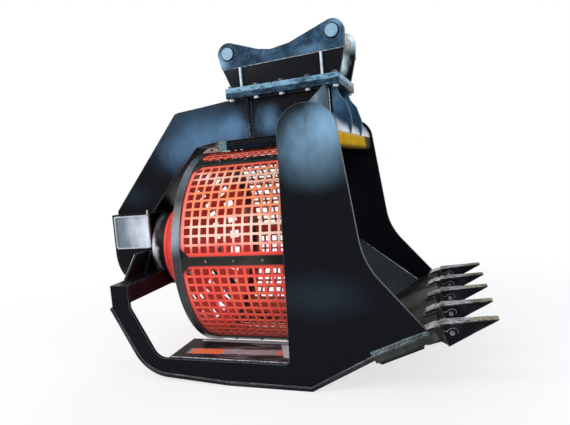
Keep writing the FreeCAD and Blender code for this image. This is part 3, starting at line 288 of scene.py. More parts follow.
@dataclass(frozen=True)
class GlossPaint(Finish):
    """Dark gloss paint with the sky's reflection painted in as soft highlights and lighter clouds, grime
    specks in the grain, and edges lightened by rubbing and painted glint.
    """

    deep: Point = (0.0035, 0.0038, 0.0062)
    # colour of the painted reflection of the sky, and of the lighter haze clouds
    sheen_colour: Point = (0.075, 0.150, 0.225)
    # soft painted highlights: the sky's reflection painted into the colour
    patches: tuple[SheenPatch, ...] = ()
    # share of lighter clouds placed by noise, in the same colour
    haze: float = 0.10
    # strength of the lighter edges: partly rubbed paint, partly a painted glint
    edge: float = 0.5
    roughness: float = 0.27
    specular: float = 0.07
    grain: float = 0.0
    # the painted reflection only beyond this distance from the middle, on the plates' outer faces
    outer_y: float = 0.0

    def sockets(self, g: Graph, place: Val) -> dict[str, Input]:
        """Return the inputs of the Principled shader."""
        x, y, z = g.axes(place)
        cloud = g.noise(place, 2.6, 3.0)
        wisp = g.noise(g.scaled(place, (1.0, 1.0, 0.55)), 11.0, 4.0, 0.6)
        fine = g.noise(place, 46.0, 4.0, 0.65)
        # painted reflection of the sky: soft highlights and lighter noise-placed clouds, with ragged edges
        # and streaks
        x = x + 0.16 * (wisp - 0.5)
        clear = (1 - self.haze * cloud.smooth(0.42, 0.72)) * unlit(x, z, self.patches)
        streak = g.noise(g.scaled(place, (1.0, 1.0, 0.35)), 26.0, 3.0, 0.6)
        sheen = (1 - clear) * (0.35 + 0.4 * cloud + 0.5 * wisp + 0.4 * streak)
        if self.grain:
            sheen = sheen * (1 - self.grain + 2 * self.grain * fine)
        # keeps the painted reflection to the outer faces
        if self.outer_y:
            sheen = sheen * abs(y).smooth(self.outer_y - 0.004, self.outer_y - 0.001)
        colour = g.mix(sheen.most(0.0).least(1.0), self.deep, self.sheen_colour)
        colour = g.mix(0.03 * fine.smooth(0.5, 0.8), colour, (0.10, 0.11, 0.12))
        # lighter edges: partly rubbed paint, partly a painted glint
        if self.edge:
            colour = g.mix(self.edge * edge_wear_and_glint(g, 0.004), colour, (0.30, 0.33, 0.36))
        rough = self.roughness + 0.10 * fine - 0.06 * cloud
        normal = g.bump(0.7 * cloud + 0.05 * fine, 0.25, 0.004)
        return {
            "Base Color": colour, "Roughness": rough, "Normal": normal,
            "Specular IOR Level": self.specular,
        }


def edge_wear_and_glint(g: Graph, radius: float) -> Val:
    """Return a mask of the convex edges, where paint rubs thin and where a painted glint lights them.

    Args:
        g: The graph to add to.
        radius: How far the mask reaches from an edge, in metres.

    Returns:
        A value from 0 on flat faces to 1 on edges.
    """
    bevel = g.node("ShaderNodeBevel", {"samples": 4}, {"Radius": radius})
    normal = g.node("ShaderNodeNewGeometry", output="Normal")
    dot = g.node("ShaderNodeVectorMath", {"operation": "DOT_PRODUCT"}, {0: bevel, 1: normal}, "Value")
    return (1 - dot).smooth(0.01, 0.16)


@dataclass(frozen=True)
class ScreenPaint(Finish):
    """Red paint of the screens, with painted light: a warmer orange upper side, pale pink bands of painted
    highlight and painted shade inside the drum; pale edges, partly rubbed and partly painted glint, and
    dark specks.
    """

    name: str = "screen_red"
    base: Point = (0.92, 0.070, 0.050)
    # orange of the painted light on the upper side
    warm: Point = (0.95, 0.270, 0.110)
    # pale of the painted highlight bands and of the rubbed edges
    pale: Point = (0.96, 0.660, 0.520)
    # darker red of the painted shade inside the drum and deep in the holes
    inside_shade: Point = (0.42, 0.080, 0.030)
    axis_z: float = 0.656
    radius: float = 0.593

    def sockets(self, g: Graph, place: Val) -> dict[str, Input]:
        """Return the inputs of the Principled shader."""
        x, y, z = g.axes(place)
        cloud = g.noise(place, 3.2, 2.0)
        fine = g.noise(place, 90.0, 3.0, 0.7)
        lift = z + 0.10 * (cloud - 0.5)
        panel = x.smooth(-0.36, -0.28)
        # painted light: the upper side warmer and lighter, with some noise
        warm = lift.smooth(0.68, 0.93) * 0.85 + 0.20 * cloud.smooth(0.5, 0.65)
        colour = g.mix((warm * panel).least(1.0), self.base, self.warm)
        # pale bands of painted highlight: the sky's reflection
        band = lift.smooth(0.70, 0.77) * lift.smooth(0.90, 0.84)
        crown = lift.smooth(1.03, 1.08) * lift.smooth(1.135, 1.11)
        colour = g.mix(0.85 * band.most(0.80 * crown) * panel, colour, self.pale)
        # the top and the rear end of the panels are kept plain red, without the painted light
        rim = z.smooth(1.115, 1.140).most(x.smooth(-0.215, -0.265))
        colour = g.mix(0.80 * rim * panel, colour, (0.94, 0.125, 0.100))
        # pale edges: partly rubbed paint, partly a painted glint
        colour = g.mix(0.35 * edge_wear_and_glint(g, 0.003), colour, self.pale)
        colour = g.mix(0.35 * fine.smooth(0.58, 0.75), colour, (0.30, 0.045, 0.03))
        # painted shade: darker red on the inner face and deep in the holes
        height = z - self.axis_z
        inside = ((y * y + height * height) ** 0.5).smooth(self.radius - 0.001, self.radius - 0.003)
        colour = g.mix(0.8 * inside * panel, colour, self.inside_shade)
        return {
            "Base Color": colour, "Roughness": 0.33 + 0.16 * fine, "Normal": g.bump(fine, 0.2, 0.001),
            "Specular IOR Level": 0.25,
        }


@dataclass(frozen=True)
class BandPaint(Finish):
    """Yellow paint of the mouth's cross piece, scuffed, with a painted highlight along the top, painted
    shade towards the bottom and painted shadow towards the cheeks.
    """

    name: str = "band_yellow"
    base: Point = (0.60, 0.33, 0.004)

    def sockets(self, g: Graph, place: Val) -> dict[str, Input]:
        """Return the inputs of the Principled shader."""
        _, y, z = g.axes(place)
        cloud = g.noise(place, 9.0, 4.0, 0.6)
        colour = g.mix(cloud.smooth(0.45, 0.7) * 0.5, self.base, (0.36, 0.17, 0.01))
        # painted highlight: pale along the top, where the glare of the sky falls
        colour = g.mix(z.smooth(1.250, 1.285) * 0.7, colour, (0.62, 0.60, 0.50))
        # painted shade: dark towards the bottom
        colour = g.mix(z.smooth(1.218, 1.190) * 0.9, colour, (0.05, 0.022, 0.004))
        # painted shadow: dark towards both cheeks, reaching further in from the far cheek
        reach = y.most(-0.62 * y)
        ends = (reach + 0.5 * (z - 1.23) + 0.05 * (cloud - 0.5)).smooth(0.30, 0.46)
        colour = g.mix(0.95 * ends, colour, (0.020, 0.018, 0.020))
        return {
            "Base Color": colour, "Roughness": 0.6 + 0.2 * cloud,
            "Normal": g.bump(cloud, 0.2, 0.002), "Specular IOR Level": 0.02,
        }


@dataclass(frozen=True)
class SpeckledGlintPaint(Finish):
    """Rough dark paint, mottled with pale specks of painted sky reflection, with painted glints, soft
    patches of painted sheen and lighter edges, partly rubbed and partly painted glint.
    """

    dark: Point = (0.012, 0.030, 0.050)
    # pale of the specks: a painted, mottled reflection of the sky
    pale: Point = (0.22, 0.38, 0.48)
    share: float = 0.5
    size: float = 60.0
    stretch: Point = (0.5, 0.5, 1.6)
    roughness: float = 0.45
    # strength of the painted glints
    glint: float = 0.8
    # soft patches of painted sheen
    patches: tuple[SheenPatch, ...] = ()

    def sockets(self, g: Graph, place: Val) -> dict[str, Input]:
        """Return the inputs of the Principled shader."""
        speck = g.noise(g.scaled(place, self.stretch), self.size, 4.0, 0.7)
        drift = g.noise(place, 9.0, 4.0, 0.6)
        # pale specks: a painted, mottled reflection of the sky on the rough paint
        level = 0.62 - 0.24 * self.share
        mask = (0.6 * speck + 0.4 * drift).smooth(level - 0.08, level + 0.10)
        colour = g.mix(mask, self.dark, self.pale)
        if self.patches:
            x, _, z = g.axes(place)
            # painted sheen in soft patches
            lit = (1 - unlit(x + 0.03 * (drift - 0.5), z, self.patches)) * (0.4 + 1.1 * drift)
            colour = g.mix(lit.least(1.0), colour, (0.24, 0.44, 0.62))
        # painted glints
        glint = speck.smooth(0.62, 0.74) * drift.smooth(0.42, 0.58)
        colour = g.mix(self.glint * glint, colour, (0.62, 0.72, 0.78))
        # lighter edges: partly rubbed paint, partly a painted glint
        colour = g.mix(0.5 * edge_wear_and_glint(g, 0.004), colour, (0.30, 0.42, 0.50))
        return {
            "Base Color": colour, "Roughness": self.roughness - 0.15 * mask,
            "Normal": g.bump(speck, 0.35, 0.003), "Specular IOR Level": 0.08,
        }


@dataclass(frozen=True)
class BoltFinish(Finish):
    """Flange bolts: heads under the paint above the flange, bright nuts below it."""

    name: str = "bolt_flange"
    split_z: float = 1.564

    def sockets(self, g: Graph, place: Val) -> dict[str, Input]:
        """Return the inputs of the Principled shader."""
        _, _, z = g.axes(place)
        speck = g.noise(place, 90.0, 3.0, 0.6)
        upper = z.smooth(self.split_z, self.split_z + 0.01)
        bright = g.mix(speck.smooth(0.4, 0.65), (0.35, 0.37, 0.40), (0.75, 0.77, 0.80))
        painted = g.mix(speck.smooth(0.5, 0.7), (0.02, 0.035, 0.05), (0.20, 0.28, 0.34))
        return {
            "Base Color": g.mix(upper, bright, painted), "Roughness": 0.34 + 0.2 * speck,
            "Metallic": 0.5 * (1 - upper),
        }


@dataclass(frozen=True)
class PinFinish(Finish):
    """A hitch pin: bare brownish steel between the ears, and painted shade, nearly black, where it passes
    through them and shows round the pin face.
    """

    name: str = "pin_shaft"
    # distance from the middle beyond which the pin is painted in shade
    ear_y: float = 0.190

    def sockets(self, g: Graph, place: Val) -> dict[str, Input]:
        """Return the inputs of the Principled shader."""
        _, y, _ = g.axes(place)
        speck = g.noise(g.scaled(place, (1.0, 0.4, 1.0)), 40.0, 3.0, 0.6)
        bare = g.mix(speck.smooth(0.4, 0.65), (0.42, 0.37, 0.33), (0.62, 0.58, 0.55))
        # painted shade: nearly black inside the ears and in the gap round the pin face
        dark = abs(y).smooth(self.ear_y - 0.004, self.ear_y + 0.004)
        return {
            "Base Color": g.mix(dark, bare, (0.010, 0.022, 0.036)),
            "Roughness": 0.35 + 0.2 * speck, "Specular IOR Level": 0.2,
        }


@dataclass(frozen=True)
class BracketPaint(Finish):
    """Guide brackets: a painted teal sheen of the sky on the stem under the arch, a brown, dirty tail
    behind it, and pale specks.
    """

    name: str = "bracket_paint"
    tail_x: float = -0.185

    def sockets(self, g: Graph, place: Val) -> dict[str, Input]:
        """Return the inputs of the Principled shader."""
        x, _, _ = g.axes(place)
        speck = g.noise(place, 45.0, 4.0, 0.6)
        tail = x.smooth(self.tail_x + 0.02, self.tail_x - 0.01)
        # painted reflection of the sky: teal on the stem; brown on the tail
        colour = g.mix(tail, (0.10, 0.19, 0.22), (0.27, 0.20, 0.17))
        colour = g.mix(0.6 * speck.smooth(0.5, 0.7), colour, (0.50, 0.46, 0.42))
        return {
            "Base Color": colour, "Roughness": 0.45 + 0.2 * speck,
            "Normal": g.bump(speck, 0.2, 0.002), "Specular IOR Level": 0.15,
        }


@dataclass(frozen=True)
class LedgePaint(Finish):
    """Gloss paint of the ledges, with a pale band of painted reflection, pale dirt streaks placed by noise,
    and painted orange reflections of the drum on the band.
    """

    name: str = "plate_ledge"
    deep: Point = (0.014, 0.009, 0.011)
    # pale of the painted reflection band and of the dirt streaks
    dust_and_reflection_colour: Point = (0.50, 0.41, 0.43)
    # orange of the drum's painted reflection
    drum_reflection: Point = (0.90, 0.170, 0.050)
    # middle of the painted reflection band at its rear and front ends, and its half width
    band_rear: Flat = (-0.260, 0.520)
    band_front: Flat = (0.240, 0.490)
    band_half: float = 0.040
    # where the drum's painted reflections start and end along the band
    drum_reflection_rear: Flat = (-0.330, -0.125)
    drum_reflection_front: Flat = (0.175, 0.232)

    def sockets(self, g: Graph, place: Val) -> dict[str, Input]:
        """Return the inputs of the Principled shader."""
        x, y, _ = g.axes(place)
        streak = g.noise(g.scaled(place, (1.0, 5.0, 1.0)), 6.0, 3.0, 0.6)
        fine = g.noise(g.scaled(place, (1.0, 3.0, 1.0)), 26.0, 3.0, 0.6)
        # painted reflection: a pale band along the ledge
        slope = (self.band_front[1] - self.band_rear[1]) / (self.band_front[0] - self.band_rear[0])
        middle = self.band_rear[1] + slope * (x - self.band_rear[0])
        across = abs(abs(y) - middle + 0.03 * (fine - 0.5)) / self.band_half
        band = across.smooth(1.15, 0.70) * x.smooth(-0.345, -0.315)
        # the band together with pale dirt streaks, placed by noise, towards the front
        dust_and_reflection = band.most(0.45 * streak.smooth(0.46, 0.62) * x.smooth(-0.25, 0.0))
        colour = g.mix(dust_and_reflection * (0.55 + 0.9 * (fine - 0.3)), self.deep, self.dust_and_reflection_colour)
        # painted reflection of the drum's orange on the band, in two stretches
        edge = x + 0.03 * (fine - 0.5)
        for low, high in (self.drum_reflection_rear, self.drum_reflection_front):
            along = edge.smooth(low, low + 0.03) * edge.smooth(high + 0.01, high - 0.01)
            colour = g.mix(0.95 * along * band, colour, self.drum_reflection)
        # lighter edges: partly rubbed paint, partly a painted glint
        colour = g.mix(0.4 * edge_wear_and_glint(g, 0.003), colour, (0.30, 0.30, 0.31))
        return {
            "Base Color": colour, "Roughness": 0.30 + 0.15 * streak,
            "Normal": g.bump(streak, 0.15, 0.002), "Specular IOR Level": 0.05,
        }


@dataclass(frozen=True)
class BareSteel(Finish):
    """Worn or machined steel with grain along one axis."""

    base: Point
    dark: Point
    roughness: float = 0.38
    metallic: float = 0.9
    grain: Point = (6.0, 60.0, 60.0)
    stain: float = 0.5

    def sockets(self, g: Graph, place: Val) -> dict[str, Input]:
        """Return the inputs of the Principled shader."""
        grain = g.noise(g.scaled(place, self.grain), 4.0, 4.0, 0.6)
        cloud = g.noise(place, 14.0, 4.0, 0.6)
        colour = g.mix(self.stain * cloud.smooth(0.42, 0.68), self.base, self.dark)
        # lighter edges: partly rubbed metal, partly a painted glint
        colour = g.mix(0.4 * edge_wear_and_glint(g, 0.002), colour, (0.75, 0.76, 0.78))
        rough = self.roughness + 0.18 * grain
        return {
            "Base Color": colour, "Metallic": self.metallic, "Roughness": rough,
            "Normal": g.bump(grain, 0.15, 0.001),
        }


@dataclass(frozen=True)
class WeldFinish(Finish):
    """Weld metal under a thin coat of paint, lighter in specks placed by noise."""

    low: Point
    high: Point
    share: float = 0.5

    def sockets(self, g: Graph, place: Val) -> dict[str, Input]:
        """Return the inputs of the Principled shader."""
        speck = g.noise(place, 120.0, 3.0, 0.7)
        drift = g.noise(place, 7.0, 3.0, 0.6)
        mask = (speck + 0.6 * drift).smooth(0.95 - 0.4 * self.share, 1.15 - 0.4 * self.share)
        return {
            "Base Color": g.mix(mask, self.low, self.high), "Roughness": 0.32 + 0.25 * speck,
            "Metallic": 0.35 * mask, "Normal": g.bump(speck, 0.4, 0.002),
        }


@dataclass(frozen=True)
class ToothFinish(Finish):
    """Forged tooth steel: black flanks, rough pale tops and an ochre tint towards the points."""

    dark: Point = (0.004, 0.004, 0.006)
    pale: Point = (0.40, 0.37, 0.39)
    ochre: Point = (0.36, 0.33, 0.22)
    point_x: float = 1.15
    grain: float = 44.0

    def sockets(self, g: Graph, place: Val) -> dict[str, Input]:
        """Return the inputs of the Principled shader."""
        x, _, _ = g.axes(place)
        _, _, up = g.axes(g.node("ShaderNodeNewGeometry", output="Normal"))
        speck = g.noise(g.scaled(place, (1.0, 2.4, 2.4)), self.grain, 5.0, 0.7)
        cloud = g.noise(place, 13.0, 3.0)
        top = up.smooth(0.45, 0.85) * (0.05 + 1.1 * (0.7 * speck + 0.3 * cloud).smooth(0.43, 0.56))
        edge = edge_wear_and_glint(g, 0.006) * speck.smooth(0.35, 0.6)
        mask = top.most(0.8 * edge).least(1.0)
        light = g.mix(x.smooth(self.point_x - 0.02, self.point_x + 0.03), self.pale, self.ochre)
        colour = g.mix(cloud.smooth(0.45, 0.7), self.dark, (0.012, 0.013, 0.016))
        colour = g.mix(mask, colour, light)
        return {
            "Base Color": colour, "Roughness": 0.50 + 0.2 * speck, "Metallic": 0.2 * mask,
            "Normal": g.bump(speck + 0.6 * cloud, 0.6, 0.004), "Specular IOR Level": 0.05,
        }


@dataclass
class Paintbox:
    """Every finish of the bucket, built once."""

    finishes: dict[str, bpy.types.Material] = field(default_factory=dict)

    def fill(self) -> None:
        """Build the materials."""
        recipes = [
            # The patches below are painted highlights, the sky's reflection painted into the colour;
            # plate_ring's are painted reflections on the drum rings.
            GlossPaint("plate_side", sheen_colour=(0.25, 0.44, 0.61), patches=(
                SheenPatch((0.500, 1.190), (0.280, 0.240), 0.42),
                SheenPatch((0.580, 1.290), (0.190, 0.160), 0.75),
                SheenPatch((0.460, 0.480), (0.330, 0.160), 0.035),
            ), haze=0.0, edge=0.8, outer_y=0.650),
            GlossPaint("plate_arch", sheen_colour=(0.105, 0.215, 0.35), patches=(
                SheenPatch((-0.300, 1.350), (0.500, 0.340), 0.30),
                SheenPatch((-0.070, 1.370), (0.125, 0.130), 0.85),
                SheenPatch((-0.230, 1.330), (0.280, 0.170), 0.60),
                SheenPatch((-0.420, 1.270), (0.220, 0.160), 0.42),
                SheenPatch((0.160, 1.385), (0.115, 0.130), 0.75),
                SheenPatch((-0.800, 1.020), (0.160, 0.110), 0.05),
            ), haze=0.0, edge=0.6),
            GlossPaint("plate_dark", haze=0.01, edge=0.35),
            GlossPaint("plate_ear", sheen_colour=(0.030, 0.060, 0.090), haze=0.35, edge=0.7),
            # ear_far: a painted reflection of the sky on the far ear
            GlossPaint("ear_far", sheen_colour=(0.72, 0.92, 0.95), patches=(
                SheenPatch((0.622, 1.838), (0.120, 0.100), 1.0),
                SheenPatch((0.526, 1.715), (0.080, 0.110), 1.0),
            ), haze=0.0, edge=0.6),
            GlossPaint("plate_shoulder", deep=(0.09, 0.13, 0.17), sheen_colour=(0.38, 0.52, 0.62), haze=1.0),
            GlossPaint("plate_gusset", deep=(0.026, 0.066, 0.115), sheen_colour=(0.100, 0.230, 0.360), patches=(
                SheenPatch((0.545, 1.440), (0.060, 0.110), 0.9),
            ), haze=0.4, edge=1.0),
            # plate_hood: a painted glare of the sky on the hood's front above the yellow cross piece
            GlossPaint("plate_hood", deep=(0.020, 0.060, 0.110), sheen_colour=(0.72, 0.78, 0.82), patches=(
                SheenPatch((0.620, 1.265), (0.060, 0.080), 1.0),
            ), haze=0.10),
            GlossPaint("plate_ring", deep=(0.012, 0.012, 0.014), sheen_colour=(0.24, 0.30, 0.38), patches=(
                SheenPatch((-0.310, 1.120), (0.120, 0.160), 0.35),
                SheenPatch((-0.310, 0.790), (0.120, 0.130), 0.95),
            ), haze=0.10, edge=0.7, specular=0.4),
            # plate_collar: a painted highlight on the housing's collar
            GlossPaint("plate_collar", sheen_colour=(0.80, 0.84, 0.92), patches=(
                SheenPatch((-0.668, 0.695), (0.046, 0.105), 1.0),
                SheenPatch((-0.665, 0.600), (0.034, 0.110), 0.30),
                SheenPatch((-0.665, 0.820), (0.040, 0.130), 0.15),
            ), haze=0.02, edge=0.4, specular=0.07),
            GlossPaint("plate_funnel", deep=(0.022, 0.028, 0.032), sheen_colour=(0.055, 0.072, 0.076), haze=0.9),
            GlossPaint("plate_floor", deep=(0.006, 0.007, 0.007), sheen_colour=(0.105, 0.112, 0.098), haze=0.9,
                       roughness=0.5),
            GlossPaint("plate_bar", deep=(0.012, 0.011, 0.009), sheen_colour=(0.060, 0.052, 0.045), haze=0.6,
                       edge=0.7),
            GlossPaint("rubber", deep=(0.005, 0.009, 0.015), sheen_colour=(0.015, 0.025, 0.035), haze=0.5,
                       edge=0.0, roughness=0.75, specular=0.02),
            # plate_panel: a painted reflection of the sky across the housing's side panels
            GlossPaint("plate_panel", deep=(0.13, 0.17, 0.20), sheen_colour=(0.78, 0.84, 0.92), patches=(
                SheenPatch((-0.680, 0.780), (0.240, 0.260), 1.0),
            ), haze=0.15, edge=0.4, specular=0.3),
            GlossPaint("plate_skid", deep=(0.008, 0.009, 0.010), sheen_colour=(0.10, 0.105, 0.11), haze=0.5,
                       edge=1.0, grain=1.0),
            # plate_hitch: its patches are painted sheen of the sky on the ears and doublers
            SpeckledGlintPaint("plate_hitch", (0.008, 0.025, 0.048), (0.034, 0.085, 0.145), 0.50, 24.0,
                         (1.0, 1.0, 1.0), glint=0.35, patches=(
                             SheenPatch((-0.105, 1.760), (0.075, 0.085), 0.75),
                             SheenPatch((0.600, 1.870), (0.080, 0.050), 0.80),
                             SheenPatch((0.420, 1.745), (0.150, 0.040), 0.35),
                         )),
            SpeckledGlintPaint("plate_base", (0.030, 0.080, 0.130), (0.23, 0.41, 0.54), 0.62, 55.0, glint=1.0),
            SpeckledGlintPaint("plate_flange", (0.005, 0.014, 0.028), (0.040, 0.095, 0.155), 0.45, 55.0,
                         glint=0.5),
            ScreenPaint(),
            BandPaint(),
            BoltFinish(),
            PinFinish(),
            BracketPaint(),
            LedgePaint(),
            # steel_pin: its blue-grey, on a non-metal, is the sky's reflection painted onto the pin faces
            BareSteel("steel_pin", (0.22, 0.38, 0.50), (0.09, 0.18, 0.27), 0.40, 0.0, stain=0.9),
            BareSteel("steel_bolt", (0.60, 0.62, 0.66), (0.28, 0.29, 0.31), 0.32, 0.5),
            BareSteel("steel_screw", (0.13, 0.12, 0.12), (0.05, 0.05, 0.05), 0.40, 0.5),
            BareSteel("steel_lock", (0.17, 0.18, 0.20), (0.015, 0.016, 0.018), 0.45, 0.2, stain=0.9),
            BareSteel("steel_bright", (0.52, 0.58, 0.63), (0.30, 0.34, 0.38), 0.34, 0.3),
            WeldFinish("weld_dark", (0.008, 0.009, 0.012), (0.14, 0.16, 0.18), 0.25),
            WeldFinish("weld_light", (0.08, 0.095, 0.11), (0.50, 0.54, 0.57), 0.65),
            WeldFinish("weld_skid", (0.012, 0.014, 0.016), (0.20, 0.215, 0.23), 0.40),
            WeldFinish("weld_rib", (0.008, 0.010, 0.014), (0.42, 0.52, 0.60), 0.35),
            WeldFinish("weld_lip", (0.012, 0.018, 0.021), (0.15, 0.20, 0.22), 0.45),
            WeldFinish("weld_tooth", (0.010, 0.010, 0.012), (0.46, 0.45, 0.46), 0.35),
            ToothFinish("tooth"),
            ToothFinish("adapter", (0.020, 0.019, 0.018), (0.66, 0.63, 0.60), grain=75.0),
        ]
        for recipe in recipes:
            self.finishes[recipe.name] = recipe.build()

    def __getitem__(self, name: str) -> bpy.types.Material:
        """Return a finish by its name."""
        return self.finishes[name]


# Modelling helpers


def clear_selection() -> None:
    """Leave edit mode and deselect everything."""
    if bpy.context.object and bpy.context.object.mode != "OBJECT":
        bpy.ops.object.mode_set(mode="OBJECT")
    bpy.ops.object.select_all(action="DESELECT")


def activate(obj: bpy.types.Object) -> None:
    """Make an object the only selected and active one."""
    clear_selection()
    obj.select_set(True)
    bpy.context.view_layer.objects.active = obj


def added(name: str) -> bpy.types.Object:
    """Return the object that an operator has just added, renamed."""
    obj = bpy.context.object
    obj.name = name
    obj.data.name = name
    return obj


def apply_modifier(obj: bpy.types.Object, kind: str, **settings: object) -> None:
    """Add a modifier, set it and apply it.

    Args:
        obj: The object to change.
        kind: The modifier's type.
        **settings: Its properties.
    """
    activate(obj)
    modifier = obj.modifiers.new(kind.lower(), kind)
    for key, value in settings.items():
        setattr(modifier, key, value)
    bpy.ops.object.modifier_apply(modifier=modifier.name)


def edge_round(obj: bpy.types.Object, width: float, segments: int = 2, angle: float = 35.0) -> None:
    """Round the sharp edges of a piece."""
    apply_modifier(
        obj, "BEVEL", width=width, segments=segments, limit_method="ANGLE",
        angle_limit=math.radians(angle), use_clamp_overlap=True,
    )


def settle(obj: bpy.types.Object, smooth: float = 35.0) -> None:
    """Apply an object's place to its mesh and shade it smooth below an angle."""
    activate(obj)
    bpy.ops.object.transform_apply(location=True, rotation=True, scale=True)
    bpy.ops.object.shade_smooth_by_angle(angle=math.radians(smooth))


def outward(obj: bpy.types.Object) -> None:
    """Merge doubles and point every face outwards."""
    activate(obj)
    bpy.ops.object.mode_set(mode="EDIT")
    bpy.ops.mesh.select_all(action="SELECT")
    bpy.ops.mesh.remove_doubles(threshold=0.00005)
    bpy.ops.mesh.normals_make_consistent(inside=False)
    bpy.ops.object.mode_set(mode="OBJECT")


def dress(obj: bpy.types.Object, finish: bpy.types.Material, body: Body) -> bpy.types.Object:
    """Give a finished piece its material, slot and body.

    Args:
        obj: The piece, in place in the row frame.
        finish: Its material.
        body: The body that it rides on.

    Returns:
        The same piece.
    """
    obj.data.materials.clear()
    obj.data.materials.append(finish)
    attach(obj, body.value)
    LOG.info("piece %s on %s", obj.name, body.value)
    return obj


def twin(name: str, source: bpy.types.Object) -> bpy.types.Object:
    """Return a copy of an object with its own mesh."""
    obj = bpy.data.objects.new(name, source.data.copy())
    bpy.context.collection.objects.link(obj)
    return obj


def joined(name: str, parts: Sequence[bpy.types.Object]) -> bpy.types.Object:
    """Join pieces into one object.

    Args:
        name: The joined object's name.
        parts: The objects, at their places.

    Returns:
        The joined object.
    """
    clear_selection()
    for part in parts:
        part.select_set(True)
    bpy.context.view_layer.objects.active = parts[0]
    bpy.ops.object.join()
    return added(name)


def towards(axis: Point) -> Matrix:
    """Return the turn that takes the Z axis to a direction."""
    return Vector((0, 0, 1)).rotation_difference(Vector(axis)).to_matrix().to_4x4()


def turned_part(
    name: str, profile: Sequence[Flat], base: Point, axis: Point, steps: int = 24
) -> bpy.types.Object:
    """Spin a profile into a closed round piece.

    Args:
        name: The piece's name.
        profile: Radius and height pairs from the axis at the base to the axis at the top.
        base: Where the axis starts.
        axis: The direction of the axis.
        steps: Facets around.

    Returns:
        The piece, with its place applied.
    """
    clear_selection()
    bpy.ops.mesh.primitive_circle_add(vertices=3, radius=0.01)
    obj = added(name)
    mesh = bmesh.new()
    line = [mesh.verts.new((radius, 0.0, height)) for radius, height in profile]
    edges = [mesh.edges.new(pair) for pair in zip(line, line[1:])]
    bmesh.ops.spin(mesh, geom=line + edges, cent=(0, 0, 0), axis=(0, 0, 1), angle=math.tau, steps=steps,
                   use_merge=True)
    bmesh.ops.remove_doubles(mesh, verts=mesh.verts, dist=MERGE)
    mesh.to_mesh(obj.data)
    mesh.free()
    obj.matrix_world = Matrix.Translation(Vector(base)) @ towards(axis)
    settle(obj, 40.0)
    outward(obj)
    return obj


def hex_head(name: str, across: float, height: float, base: Point, axis: Point) -> bpy.types.Object:
    """Add a chamfered hexagon head on a surface."""
    clear_selection()
    bpy.ops.mesh.primitive_cylinder_add(vertices=6, radius=across / math.sqrt(3), depth=height)
    obj = added(name)
    middle = Vector(base) + Vector(axis).normalized() * height / 2
    obj.matrix_world = Matrix.Translation(middle) @ towards(axis)
    settle(obj)
    edge_round(obj, across * 0.06, 1)
    return obj


def strip(name: str, low: Point, high: Point, rounding: float = 0.003) -> bpy.types.Object:
    """Add a flat bar between two corners, with rounded edges.

    Args:
        name: The piece's name.
        low: Its lowest corner.
        high: Its highest corner.
        rounding: Edge radius.

    Returns:
        The bar.
    """
    clear_selection()
    middle = (Vector(low) + Vector(high)) / 2
    bpy.ops.mesh.primitive_cube_add(size=1.0, location=middle)
    obj = added(name)
    obj.scale = Vector(high) - Vector(low)
    settle(obj)
    edge_round(obj, rounding)
    return obj


def slab(name: str, corners: Sequence[Flat], low: float, high: float, rounding: float) -> bpy.types.Object:
    """Add a flat plate over four corners seen from above.

    Args:
        name: The piece's name.
        corners: Places (x, y) in order round the plate.
        low: Height of its lower face.
        high: Height of its upper face.
        rounding: Edge radius.

    Returns:
        The plate.
    """
    clear_selection()
    bpy.ops.mesh.primitive_plane_add(size=2.0)
    obj = added(name)
    order = sorted(obj.data.vertices, key=lambda vert: math.atan2(vert.co.y, vert.co.x))
    turned = sorted(corners, key=lambda c: math.atan2(
        c[1] - sum(p[1] for p in corners) / 4, c[0] - sum(p[0] for p in corners) / 4))
    for vert, corner in zip(order, turned):
        vert.co = (*corner, low)
    activate(obj)
    bpy.ops.object.mode_set(mode="EDIT")
    bpy.ops.mesh.select_all(action="SELECT")
    bpy.ops.mesh.extrude_region_move(TRANSFORM_OT_translate={"value": (0, 0, high - low)})
    bpy.ops.object.mode_set(mode="OBJECT")
    outward(obj)
    edge_round(obj, rounding, 1)
    return obj


def corner_arc(before: Point, corner: Point, after: Point, radius: float, count: int = 9) -> list[Point]:
    """Return points of the arc that rounds one corner of a line.

    Args:
        before: A point on the way in.
        corner: The sharp corner.
        after: A point on the way out.
        radius: The arc's radius.
        count: Points along the arc.

    Returns:
        The points, from the way in to the way out.
    """
    tip = Vector(corner)
    back, ahead = (Vector(before) - tip).normalized(), (Vector(after) - tip).normalized()
    half = back.angle(ahead) / 2
    centre = tip + (back + ahead).normalized() * radius / math.sin(half)
    start = tip + back * radius / math.tan(half) - centre
    end = tip + ahead * radius / math.tan(half) - centre
    turns = [start.slerp(end, index / (count - 1)).normalized() for index in range(count)]
    return [tuple(centre + turn * radius) for turn in turns]


